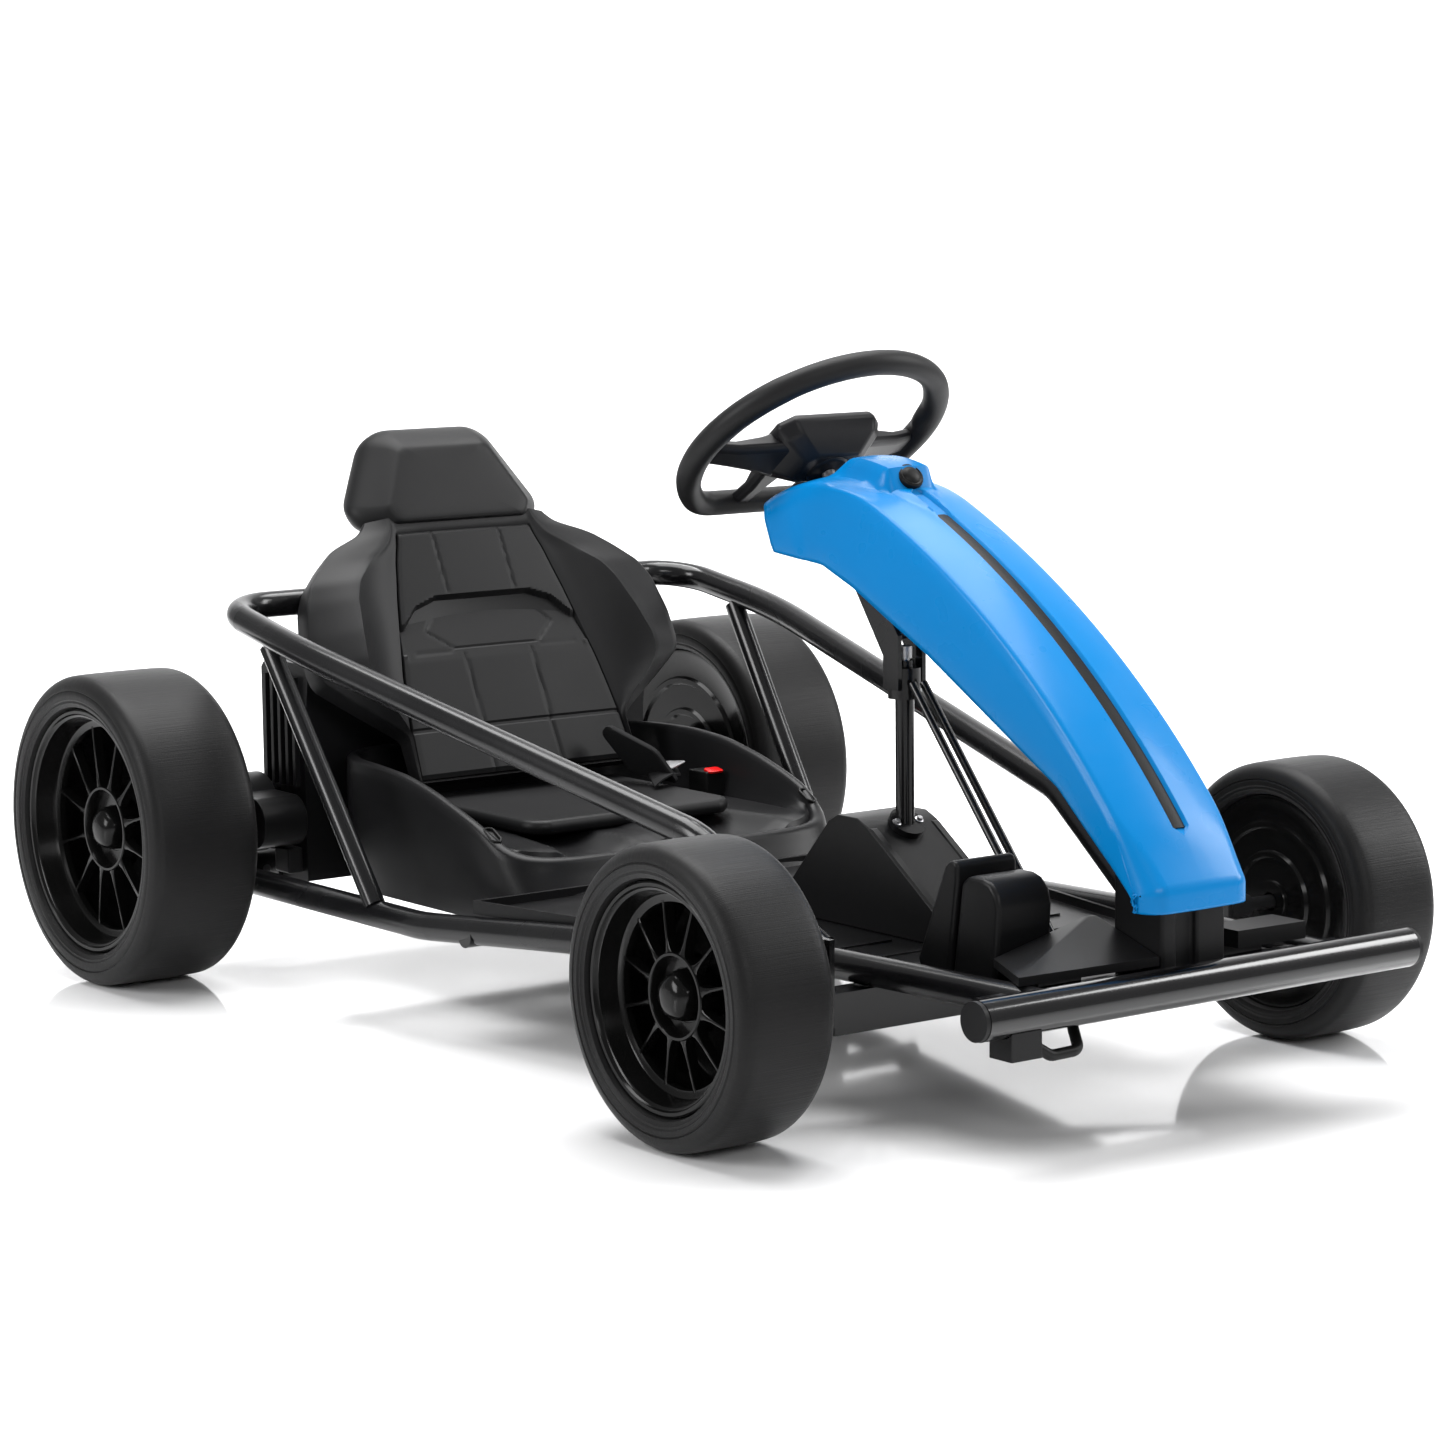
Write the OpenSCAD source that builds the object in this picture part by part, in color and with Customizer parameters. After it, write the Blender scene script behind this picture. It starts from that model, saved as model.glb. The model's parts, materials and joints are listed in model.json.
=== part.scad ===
// Electric drift kart for a child: a tube frame with a side hoop, a moulded bucket
// seat, a long curved fairing that carries the steering, and four slick wheels.
// Millimetres. The kart faces -Y, +Z is up, the ground is z = 0 and x = 0 is its centre.

/* [Wheels] */
// Distance between the front and rear axles
wheelbase = 863; // [820:1:900]
// Outer diameter of a front tyre
front_tyre_d = 240; // [220:1:250]
// Width of a front tyre
front_tyre_w = 90; // [76:1:96]
// Distance between the front tyres' mid planes
front_track = 644; // [630:1:670]
// Outer diameter of a rear tyre
rear_tyre_d = 290; // [276:1:300]
// Width of a rear tyre
rear_tyre_w = 111; // [96:1:120]
// Distance between the rear tyres' mid planes
rear_track = 686; // [680:1:710]
// Height of the tyre wall above the rim
tyre_wall = 29; // [24:1:34]
// Radius of the tyre's shoulder
shoulder_r = 13; // [9:0.5:16]
// Spokes on each rim
spoke_count = 12; // [8:1:14]
// Diameter of the stub axles and the rear axle
axle_d = 12; // [10:0.5:14]

/* [Frame] */
// Diameter of the frame and hoop tube
tube_d = 25; // [22:1:28]
// Diameter of the front bumper tube
bumper_d = 32; // [28:1:34]
// Length of the front bumper tube
bumper_w = 449; // [430:1:460]
// Height of the bumper's centre line
bumper_z = 120; // [116:1:126]
// Half width of the side tubes beside the seat
seat_tube_x = 250; // [244:1:254]
// Height of the rear axle above the side tubes beside the seat
axle_drop = 55; // [52:1:60]
// Diameter of the struts that hold the hoop
strut_d = 19; // [16:1:22]
// Highest point of the hoop's centre line, behind the seat
hoop_z = 346; // [330:1:356]
// Thickness of the floor tray
floor_t = 4; // [3:0.5:5]

/* [Seat] */
// Recline of the seat's back from upright, in degrees
seat_recline = 26; // [22:1:30]
// Width across the seat's bolsters
seat_w = 412; // [396:1:420]
// Length of the back, from its foot along its slope to the headrest's top
headrest_s = 350; // [340:1:356]
// Depth of the side bolsters in front of the seat's back
bolster_h = 31; // [27:1:36]

/* [Fairing] */
// Width of the fairing's top between its creases
fairing_w = 104; // [96:1:112]
// Bend radius of the long front stretch
fairing_r = 840; // [830:5:850]
// Bend radius of the short stretch under the steering wheel
fairing_rear_r = 170; // [160:1:180]
// Wall of the fairing
fairing_t = 3; // [2.5:0.1:4]
// Width of the dark inlay along the fairing's top
stripe_w = 9; // [7:0.5:11]

/* [Steering] */
// Radius of the steering wheel's centre line
wheel_r = 114; // [106:1:120]
// Diameter of the steering wheel's rim
wheel_rim_d = 22; // [19:0.5:24]
// Slope of the steering column from level, in degrees
column_tilt = 53; // [51:0.5:55]
// Distance from a kingpin to the mid plane of its front tyre
kingpin_gap = 96; // [92:1:100]
// Length of the steering arms
arm_l = 50; // [44:1:54]
// Outer diameter of the upright steering post
post_d = 16; // [15:0.5:20]

/* [Hidden] */
$fn = 48;

// Clearances: parts that touch at rest, and shafts that turn in their bores
seat_gap = 0.2;
run_gap = 0.3;

// Axle places
front_y = -388;
rear_y = front_y + wheelbase;
front_z = front_tyre_d / 2;
rear_z = rear_tyre_d / 2;
kingpin_x = front_track / 2 - kingpin_gap;
seat_tube_z = rear_z - axle_drop;
tube_r = tube_d / 2;
bumper_r = bumper_d / 2;
bumper_y = -604;
front_rim_r = front_tyre_d / 2 - tyre_wall + 1;
rear_rim_r = rear_tyre_d / 2 - tyre_wall - 2;

// Width between the side tubes at the feet, as a share of its usual 135.5 mm each side
foot_k = (kingpin_x - 78 - tube_r) / 135.5;

// Side tubes: from behind the rear axle, past the seat and in between the front wheels
side_path = [
    [seat_tube_x, rear_y + 40, seat_tube_z],
    [seat_tube_x, 120, seat_tube_z],
    [kingpin_x - 58, -365, bumper_z],
    [kingpin_x - 78, bumper_y, bumper_z]
];
// Side hoop: one bent tube from the front axle, over the hips and behind the seat
hoop_rear_y = 436.5;
hoop_side_x = 264;
hoop_path = [
    [kingpin_x - 56, -348, bumper_z + 9],
    [196, -214, 207],
    [hoop_side_x + 6, 288, hoop_z - 26],
    [hoop_side_x - 2, hoop_rear_y, hoop_z]
];
// Strut: from the hoop down to the side tube
strut_top = [265, 348, hoop_z - 28];
strut_foot = [seat_tube_x + 2, 196, seat_tube_z + 8];

// Steering wheel centre and the direction of its column, up towards the driver
wheel_c = [0, -122, 516];
column_dir = [0, cos(column_tilt), sin(column_tilt)];
post_y = -244;
joint_c = wheel_c + column_dir * ((post_y - wheel_c[1]) / column_dir[1]);
tunnel_top_z = 200;
floor_z = 108;
arm_z = 98;
arm_t = 6;
plate_pin_x = 12;
// Depth of the axles' ends below the tyres' outer side, and of the spokes
hub_inset = 27;
spoke_inset = 22;
rod_z = 88;
pin_d = 8;

// Small functions for directions
function unit(v) = v / norm(v);
function mirrored(p) = [-p[0], p[1], p[2]];

// A round bar from point a to point b
module bar(a, b, r) {
    d = b - a;
    translate(a)
        rotate([0, acos(d[2] / norm(d)), atan2(d[1], d[0])])
            cylinder(h = norm(d), r = r);
}

// The bend of a round bar at corner b, with bend radius br
module elbow(a, b, c, br, r) {
    u = unit(a - b);
    w = unit(c - b);
    half = acos(u * w) / 2;
    centre = b + unit(u + w) * br / sin(half);
    start = b + u * br / tan(half);
    e1 = unit(start - centre);
    e3 = unit(cross(w, u));
    e2 = cross(e3, e1);
    turn = (e2 * w > 0) ? 1 : -1;
    translate(centre)
        rotate([atan2(e2[2], e3[2]), -asin(e1[2]), atan2(e1[1], e1[0])])
            rotate_extrude(angle = turn * (180 - 2 * half), $fn = 96)
                translate([br, 0])
                    circle(r = r);
}

// How far from a corner a bend of radius br starts
function trim(a, b, c, br) = br / tan(acos(unit(a - b) * unit(c - b)) / 2);

// A bent tube through a list of points, bent by radii[i] at inner point i. Its straight
// lengths are a hair thinner than its bends and reach a little way into them.
module bent_tube(points, radii, r) {
    last = len(points) - 1;
    for (i = [0 : last - 1]) {
        d = unit(points[i + 1] - points[i]);
        from_trim = i == 0 ? 0 : trim(points[i - 1], points[i], points[i + 1], radii[i]) - 0.8;
        to_trim = i == last - 1 ? 0
            : trim(points[i], points[i + 1], points[i + 2], radii[i + 1]) - 0.8;
        bar(points[i] + d * from_trim, points[i + 1] - d * to_trim, r - 0.06);
        if (i > 0) elbow(points[i - 1], points[i], points[i + 1], radii[i], r);
    }
}

// A flat rectangle with round corners, centred
module rounded(w, h, r) {
    square([w - 2 * r, h], center = true);
    square([w, h - 2 * r], center = true);
    for (x = [-1, 1], y = [-1, 1])
        translate([x * (w / 2 - r), y * (h / 2 - r)])
            circle(r = r);
}

// A side view outline, given as [y, z] points, made into a slab of width w about x = 0
module side_slab(w) {
    rotate([90, 0, 90])
        translate([0, 0, -w / 2])
            linear_extrude(w)
                children();
}

module both_sides() {
    children();
    mirror([1, 0, 0]) children();
}

// Frame
module side_tubes() {
    color("#202022")
        both_sides()
            difference() {
                bent_tube(side_path, [0, 160, 120, 0], tube_r);
                translate([0, bumper_y, bumper_z])
                    rotate([0, 90, 0])
                        cylinder(h = bumper_w, r = bumper_r + seat_gap);
            }
}

// Front of the tub, which the front cross tube carries
tub_front = 64;

module cross_members() {
    color("#202022") {
        for (y = [rear_y + 24, tub_front - 10 - seat_gap])
            difference() {
                bar([-seat_tube_x, y, seat_tube_z], [seat_tube_x, y, seat_tube_z], 10);
                side_tube_cut();
            }
        both_sides()
            axle_plate();
    }
}

// Room for the side tubes in what is welded to them
module side_tube_cut() {
    both_sides()
        bent_tube(side_path, [0, 160, 120, 0], tube_r + seat_gap);
}

// Plate that hangs the rear axle on the rear cross member
module axle_plate() {
    translate([196, rear_y, 0])
        difference() {
            translate([0, -22, seat_tube_z - 8])
                cube([5, 56, rear_z - seat_tube_z + 32]);
            translate([-1, 0, rear_z])
                rotate([0, 90, 0])
                    cylinder(h = 8, d = axle_d + 2 * seat_gap);
        }
}

module side_hoop() {
    rear = hoop_path[3];
    left = [for (p = hoop_path) mirrored(p)];
    path = concat(hoop_path, [left[3], left[2], left[1], left[0]]);
    color("#202022")
        difference() {
            bent_tube(path, [0, 90, 500, 48, 48, 500, 90, 0], tube_r);
            side_tube_cut();
        }
}

module hoop_struts() {
    color("#202022")
        difference() {
            both_sides()
                bar(strut_foot, strut_top, strut_d / 2);
            side_tube_cut();
            hoop_cut();
        }
}

// Room for the hoop in what is welded to it
module hoop_cut() {
    left = [for (p = hoop_path) mirrored(p)];
    path = concat(hoop_path, [left[3], left[2], left[1], left[0]]);
    bent_tube(path, [0, 90, 500, 48, 48, 500, 90, 0], tube_r + seat_gap);
}

module front_bumper() {
    color("#161617")
        translate([-bumper_w / 2, bumper_y, bumper_z])
            rotate([0, 90, 0])
                difference() {
                    cylinder(h = bumper_w, r = bumper_r);
                    for (end = [-1, bumper_w - 11])
                        translate([0, 0, end])
                            cylinder(h = 12, r = bumper_r - 2);
                }
}

module bumper_caps() {
    color("#2a2a2c")
        both_sides()
            translate([bumper_w / 2, bumper_y, bumper_z])
                rotate([0, 90, 0]) {
                    translate([0, 0, seat_gap])
                        cylinder(h = 4, r = bumper_r - 0.5);
                    translate([0, 0, -10])
                        cylinder(h = 10 + seat_gap, r = bumper_r - 2 - seat_gap);
                }
}

module bumper_plate() {
    color("#2c2c2f")
        difference() {
            translate([-188, bumper_y, bumper_z])
                cube([376, 46, 6]);
            translate([-250, bumper_y, bumper_z])
                rotate([0, 90, 0])
                    cylinder(h = 500, r = bumper_r + seat_gap);
            side_tube_cut();
        }
}

// Front axle: a box beam with a yoke at each end that holds the kingpin
module front_axle_beam() {
    beam_z = [73, 107 - 0.3];
    color("#202022") {
        translate([-(kingpin_x - 21), front_y - 20, beam_z[0]])
            cube([2 * (kingpin_x - 21), 26, beam_z[1] - beam_z[0]]);
        both_sides() {
            translate([kingpin_x - 21, front_y - 20, 80])
                cube([5, 18, 70]);
            for (z = [92, 145])
                translate([kingpin_x - 18, front_y, z])
                    yoke_ear();
            translate([kingpin_x, front_y, 88])
                cylinder(h = 66, d = 10);
            for (z = [84, 150])
                translate([kingpin_x, front_y, z])
                    cylinder(h = 8, d = 17, $fn = 6);
        }
    }
}

module yoke_ear() {
    linear_extrude(5) {
        translate([0, -14])
            square([18, 28]);
        translate([18, 0])
            circle(r = 14);
    }
}

// Floor tray between the side tubes, with a turned-up lip along each side
module floor_tray() {
    color("#2c2c2f")
        difference() {
            union() {
                translate([0, 0, floor_z])
                    linear_extrude(floor_t)
                        floor_outline(0);
                translate([0, 0, floor_z])
                    linear_extrude(12)
                        difference() {
                            floor_outline(0);
                            floor_outline(4);
                            translate([-150, -600])
                                square([300, 60]);
                        }
                both_sides()
                    for (y = [-400, -340, -290])
                        translate([52 * foot_k, y, floor_z + floor_t - 1])
                            cube([80 * foot_k, 6, 3]);
            }
            side_tube_cut();
            translate([0, post_y, floor_z - 1])
                cylinder(h = floor_t + 4, d = post_d + 8);
        }
}

module floor_outline(inset) {
    polygon([
        [-(238 - inset), 58 - inset], [-(kingpin_x - 72 - inset), -365],
        [-(kingpin_x - 92 - inset), -556 + inset], [kingpin_x - 92 - inset, -556 + inset],
        [kingpin_x - 72 - inset, -365], [238 - inset, 58 - inset]
    ]);
}

// Tunnel over the steering gear, sloping down to the front
module steering_tunnel() {
    color("#252527")
        difference() {
            tunnel_body(76, 0);
            tunnel_body(70, 3);
            translate([0, post_y, floor_z])
                cylinder(h = 150, d = post_d + 2 * seat_gap);
        }
}

module tunnel_body(w, inset) {
    base = floor_z + floor_t + seat_gap - (inset > 0 ? 1 : 0);
    side_slab(w)
        polygon([
            [-112 - inset, base], [-122 - inset, 128], [-188 - inset * 0.7, tunnel_top_z - inset],
            [-200 - inset * 0.5, tunnel_top_z + 6 - inset], [-226, tunnel_top_z + 6 - inset],
            [-240 + inset * 0.4, tunnel_top_z - inset], [-336 + inset, 134], [-344 + inset, base]
        ]);
}

// Slope of the tunnel's top in front of its flat crest
tunnel_slope = (tunnel_top_z - 134) / (336 - 240);

// Upright post: a tube with a bolted foot, which guides the lower steering shaft
module steering_post() {
    color("#232325")
        translate([0, post_y, 0])
            difference() {
                union() {
                    translate([0, 0, floor_z - 2])
                        cylinder(h = joint_c[2] - 16 - floor_z + 2, d = post_d);
                    translate([0, 0, tunnel_top_z + tunnel_slope * (post_y + 240)])
                        rotate([atan(tunnel_slope), 0, 0])
                            translate([0, 0, seat_gap])
                                cylinder(h = 6, d = 32);
                }
                translate([0, 0, 90])
                    cylinder(h = 300, d = 10 + 2 * run_gap);
            }
}

// Bracket that joins the post, the column's bearing and the fairing
module column_bracket() {
    bearing = wheel_c - column_dir * 96;
    color("#29292b")
        difference() {
            union() {
                translate([0, post_y, joint_c[2] - 48])
                    cylinder(h = 26, d = post_d + 12);
                for (x = [-15, 11])
                    translate([x, 0, 0])
                        rotate([90, 0, 90])
                            linear_extrude(4)
                                polygon([
                                    [post_y - 10, joint_c[2] - 40], [post_y + 10, joint_c[2] - 40],
                                    [post_y + 10, joint_c[2] - 12],
                                    [bearing[1] + 9, bearing[2] - 7],
                                    [bearing[1] - 8, bearing[2] + 6],
                                    [post_y - 10, joint_c[2] + 6]
                                ]);
                bar(bearing - column_dir * 11, bearing + column_dir * 11, 13);
                // Cross bar whose ends carry the fairing's walls
                translate([-fairing_w / 2 - 1.4, bearing[1] - 12, bearing[2] - 11])
                    rotate([0, 90, 0])
                        cylinder(h = fairing_w + 2.8, r = 5);
            }
            bar(bearing - column_dir * 30, bearing + column_dir * 30, 6 + run_gap);
            translate([0, post_y, 100])
                cylinder(h = joint_c[2] - 113, d = post_d + 2 * seat_gap);
            translate([0, post_y, joint_c[2] - 22])
                cylinder(h = 40, d = 22);
        }
}

// Two thin rods from the post forward to the floor
module brace_rods() {
    top = [0, post_y - 17.6, joint_c[2] - 34];
    foot = [0, -436, floor_z + floor_t + 4];
    color("#1d1d1f") {
        for (x = [-6, 6])
            bar(top + [x, 0, 0], foot + [x, 0, 0], 3.5);
        translate(foot + [-14, -12, -4 + seat_gap])
            cube([28, 24, 4]);
    }
}

// Fairing
// The front stretch turns about front_c and the rear stretch about rear_c, and they
// meet at join_a degrees from the vertical
join_a = 24;
nose_a = 53.8;
tail_a = -29;
join_p = [-269, 469];
front_c = join_p + fairing_r * [sin(join_a), -cos(join_a)];
rear_c = join_p + fairing_rear_r * [sin(join_a), -cos(join_a)];
skirt = [[-136, 425], [-204, 419], [-288, 382], [-501, 266], [-560, 214], [-590, 188]];
nose_z = [178, 204];
nose_y = -613;

// Points of the cross section, from one lower edge over the top to the other. The
// crease is at height 0.
function section_points(wall) = let(half = fairing_w / 2 - wall) [
    [-half - 8, -90], [-half - 3, -30], [-half, -4], [-half + 5, -wall],
    [-half / 2, 4.5 - wall], [0, 6.5 - wall], [half / 2, 4.5 - wall],
    [half - 5, -wall], [half, -4], [half + 3, -30], [half + 8, -90]
];

// The wall of the fairing in cross section, and the whole inside with it
module fairing_wall() {
    inner = section_points(fairing_t);
    polygon(concat(section_points(0), [for (i = [len(inner) - 1 : -1 : 0]) inner[i]]));
}

module fairing_section(wall) {
    polygon(section_points(wall));
}

// Sweeps a cross section from angle a to angle b about a centre in the side view
module sweep(centre, radius, a, b) {
    translate([0, centre[0], centre[1]])
        rotate([90, 0, 90])
            rotate([0, 0, 90 + a])
                rotate_extrude(angle = b - a, $fn = 180)
                    translate([radius, 0])
                        rotate([0, 0, -90])
                            children();
}

module above_skirt() {
    side_slab(200)
        polygon([
            skirt[0], skirt[1], skirt[2], skirt[3], skirt[4], skirt[5], [-600, nose_z[0]],
            [-700, nose_z[0]], [-700, 560], [0, 560], [-60, 470]
        ]);
}

module fairing_collar(wall) {
    side_slab(2 * (24 - wall))
        polygon([
            [-160, 470], [-172, 484 - wall], [-196, 501 - wall], [-206, 504 - wall],
            [-224, 504 - wall], [-240 + wall, 490], [-243 + wall, 465]
        ]);
}

// Both stretches of the fairing's wall, down to its lower edge
module fairing_skin() {
    intersection() {
        union() {
            sweep(front_c, fairing_r, join_a, nose_a)
                fairing_wall();
            sweep(rear_c, fairing_rear_r, tail_a, join_a)
                fairing_wall();
        }
        above_skirt();
    }
}

// The nose: an upright front with round corners that hangs from the sweep's end
module nose_solid(wall) {
    w = fairing_w + 6 - 2 * wall;
    intersection() {
        side_slab(w)
            polygon([
                [-584, 206 - wall], [-604, nose_z[1] - 2 - wall], [nose_y + 4 + wall, nose_z[1] - 8 - wall],
                [nose_y + wall, nose_z[1] - 14], [nose_y + wall, nose_z[0] - (wall > 0 ? 1 : 0)],
                [-588, nose_z[0] - (wall > 0 ? 1 : 0)], [-580, 190]
            ]);
        translate([0, nose_y + 60, 150])
            linear_extrude(80)
                rounded(w, 120 - 2 * wall, 16 - wall);
    }
}

module fairing_shell() {
    color("#1488dd")
        difference() {
            union() {
                fairing_skin();
                nose_solid(0);
                fairing_collar(0);
            }
            // Opening for the steering column
            translate([-14, -172, 430])
                cube([28, 40, 70]);
            nose_solid(fairing_t);
            fairing_collar(fairing_t);
            inlay_room(stripe_w + 2 * seat_gap, 2);
        }
}

// The groove along the fairing's top, and what fills it
module inlay_room(w, depth) {
    sweep(front_c, fairing_r, join_a + 0.5, nose_a - 2)
        translate([-w / 2, 6.5 - depth])
            square([w, depth + 3]);
}

// The boss stands where the inlay ends, at this angle of the short stretch
boss_a = 20;

module fairing_inlay() {
    color("#151515") {
        intersection() {
            inlay_room(stripe_w, 1.8);
            sweep(front_c, fairing_r, join_a, nose_a)
                translate([-20, 0])
                    square([40, 5.6]);
        }
        translate([0, rear_c[0], rear_c[1]])
            rotate([boss_a, 0, 0])
                translate([0, 0, fairing_rear_r + 6.5 + seat_gap])
                    cylinder(h = 5, d = 18);
    }
}

// Block that stands on the floor and reaches up into the fairing's nose
module nose_block() {
    base = floor_z + floor_t + seat_gap;
    color("#1e1e20")
        difference() {
            translate([11.5 * foot_k, 0, 0])
                side_slab(67 * foot_k)
                    polygon([
                        [-528, base], [-556, base], [-556, bumper_z + 6 + seat_gap],
                        [-584, bumper_z + 6 + seat_gap], [-584, 178], [-576, 188], [-576, 221],
                        [-548, 253], [-528, 253]
                    ]);
            // Recess between the two front ribs
            translate([-6 * foot_k, -590, bumper_z])
                cube([20 * foot_k, 12, 90]);
        }
}

// Accelerator: a housing on the floor and the pedal plate behind it
module pedal_housing() {
    base = floor_z + floor_t + seat_gap;
    color("#1c1c1e")
        translate([-92 * foot_k, 0, 0])
            side_slab(56 * foot_k)
                polygon([
                    [-500, base], [-505, 176], [-502, 188], [-494, 196], [-484, 199], [-468, 199],
                    [-459, 192], [-447, base]
                ]);
}

module accelerator_pedal() {
    base = floor_z + floor_t + seat_gap;
    color("#1c1c1e")
        translate([-92 * foot_k, 0, 0])
            side_slab(62 * foot_k)
                polygon([
                    [-414, base], [-409, 126], [-443, 204], [-449, 209], [-456, 209],
                    [-458.7, 204], [-458.7, 192], [-446.7, base]
                ]);
}

// Ramps in front of the feet: a wide wedge by the pedal and a short block on the other side
module toe_ramps() {
    base = bumper_z + 13;
    color("#29292c") {
        hull() {
            for (z = [base, 138])
                translate([0, 0, z])
                    linear_extrude(2)
                        polygon([
                            [-160 * foot_k, -575], [-24 * foot_k, -583], [-24 * foot_k, -506],
                            [-126 * foot_k, -506]
                        ]);
            translate([-32 * foot_k, -511, 160])
                cube([8 * foot_k, 5, 2]);
        }
        hull()
            for (part = [0, 1])
                translate([0, 0, part == 0 ? base : 143])
                    linear_extrude(part == 0 ? 2 : 4)
                        polygon([
                            [142 * foot_k, -574], [71 * foot_k, -571], [71 * foot_k, -534],
                            [142 * foot_k, -536]
                        ]);
        for (x = [-118 * foot_k, 74 * foot_k])
            translate([x, -549, floor_z + floor_t + seat_gap])
                cube([44 * foot_k, 34 * (x < 0 ? 1 : 0.4), base + 1 - floor_z - floor_t - seat_gap]);
    }
}

// Seat
// Places on the reclined back: up is the way along its slope, out is forwards
back_foot = [327, 196];
back_t = 19.5;
function on_back(up, out) = [
    back_foot[0] + up * sin(seat_recline) - out * cos(seat_recline),
    back_foot[1] + up * cos(seat_recline) + out * sin(seat_recline)
];

// Moves children drawn in the plane of the seat's back: X across, Y up, Z forwards
module at_back(out) {
    p = on_back(0, out);
    translate([0, p[0], p[1]])
        rotate([90 - seat_recline, 0, 0])
            children();
}

module back_outline(inset) {
    s = seat_w / 2 - inset;
    polygon([
        [-s + 84, -20 + inset], [-s + 82, 30], [-s + 41, 60], [-s + 3, 88], [-s, 130],
        [-s + 8, 165], [-s + 18, 184], [-s + 38, 205], [-s + 59, 222], [-s + 92, 240],
        [-s + 98, 258 - inset], [s - 98, 258 - inset], [s - 92, 240], [s - 59, 222],
        [s - 38, 205], [s - 18, 184], [s - 8, 165], [s, 130], [s - 3, 88], [s - 41, 60],
        [s - 82, 30], [s - 84, -20 + inset]
    ]);
}

module seat_back() {
    color("#2b2b2d")
        difference() {
            union() {
                at_back(-back_t)
                    linear_extrude(back_t)
                        back_outline(0);
                both_sides()
                    bolster();
            }
            at_back(-3)
                linear_extrude(20)
                    panel_outline(0);
            at_back(-60)
                translate([0, 110, 0])
                    linear_extrude(72 - back_t)
                        rounded(250, 150, 30);
        }
}

// Side bolster: rises to a crest beside the panel and slopes back to the seat's edge
module bolster() {
    outer = seat_w / 2;
    hull() {
        at_back(-1)
            linear_extrude(2)
                polygon([
                    [outer - 83, 32], [outer - 42, 61], [outer - 4, 89], [outer - 1, 130],
                    [outer - 9, 164], [outer - 19, 183], [outer - 39, 204], [outer - 60, 220],
                    [outer - 108, 222], [outer - 100, 160], [outer - 91, 75]
                ]);
        at_back(6)
            linear_extrude(2)
                polygon([
                    [outer - 60, 60], [outer - 42, 62], [outer - 4, 89.5], [outer - 1, 129],
                    [outer - 9, 162], [outer - 20, 180], [outer - 62, 206], [outer - 88, 208]
                ]);
        at_back(bolster_h * 0.6 - 2)
            linear_extrude(2)
                polygon([
                    [outer - 60, 60], [outer - 34, 72], [outer - 40, 150], [outer - 58, 166],
                    [outer - 66, 160]
                ]);
        at_back(bolster_h - 2)
            linear_extrude(2)
                polygon([
                    [outer - 46, 82], [outer - 41, 88], [outer - 41, 100], [outer - 46, 112],
                    [outer - 50, 100]
                ]);
    }
}

module panel_outline(inset) {
    polygon([
        [-118 + inset, -8 + inset], [-114 + inset, 46], [-103 + inset, 123],
        [-78 + inset, 230 - inset], [78 - inset, 230 - inset], [103 - inset, 123],
        [114 - inset, 46], [118 - inset, -8 + inset]
    ]);
}

module seat_back_panel() {
    color("#323234")
        difference() {
            at_back(-3 + seat_gap)
                linear_extrude(7)
                    panel_outline(seat_gap * 2);
            both_sides()
                at_back(2.5)
                    translate([36, -10, 0])
                        cube([1.5, 250, 5]);
            at_back(1.5)
                linear_extrude(6)
                    translate([0, 130])
                        difference() {
                            polygon([[-96, -2], [-56, 28], [56, 28], [96, -2], [50, -26], [-50, -26]]);
                            polygon([[-88, -3], [-52, 22], [52, 22], [88, -3], [48, -22], [-48, -22]]);
                        }
        }
}

module headrest() {
    color("#2a2a2c")
        difference() {
            hull() {
                at_back(3)
                    linear_extrude(3)
                        polygon([
                            [-73, 242], [-80, 256], [-50, 318], [50, 318], [80, 256], [73, 242]
                        ]);
                at_back(-30)
                    linear_extrude(4)
                        polygon([
                            [-108, 259], [-104, 278], [-70, headrest_s - 12], [-52, headrest_s],
                            [52, headrest_s], [70, headrest_s - 12], [104, 278], [108, 259],
                            [98, 246], [-98, 246]
                        ]);
                at_back(-58)
                    linear_extrude(4)
                        polygon([
                            [-92, 260], [-62, headrest_s - 16], [-48, headrest_s - 8],
                            [48, headrest_s - 8], [62, headrest_s - 16], [92, 260]
                        ]);
            }
            at_back(-back_t - seat_gap)
                linear_extrude(back_t + 2 * seat_gap)
                    back_outline(-seat_gap);
        }
}

// Tub under the hips: a moulded shell whose rim falls towards the knees
tub_half = 190;
module tub_outline(inset) {
    translate([0, tub_front + 172])
        rounded(2 * (tub_half - inset), 344 - 2 * inset, 60 - inset);
}

module hip_tub() {
    color("#262628")
        difference() {
            intersection() {
                translate([0, 0, 78])
                    linear_extrude(160)
                        tub_outline(0);
                side_slab(400)
                    polygon([
                        [40, 70], [66, 140], [97, 152], [127, 171], [155, 180], [202, 190],
                        [300, 214], [420, 214], [420, 70]
                    ]);
            }
            translate([0, 0, 150])
                linear_extrude(120)
                    tub_outline(12);
            for (x = [-84, 84])
                translate([x, 20, 190])
                    rotate([-84, 0, 0])
                        cylinder(h = 240, r = 62);
            translate([0, 0, 70])
                linear_extrude(60)
                    tub_outline(6);
            both_sides()
                translate([166, 110, 162])
                    rotate([30, 0, 0])
                        linear_extrude(40, center = true)
                            rounded(8, 18, 3.9);
            seat_space();
            side_tube_cut();
        }
}

// What the back and its bolsters take up
module seat_space() {
    at_back(-back_t - 1)
        linear_extrude(60)
            back_outline(-1);
}

module seat_cushion() {
    color("#323234")
        difference() {
            translate([0, 0, 150 + seat_gap])
                linear_extrude(14)
                    translate([0, 250])
                        rounded(230, 210, 24);
            seat_space();
        }
}

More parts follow.
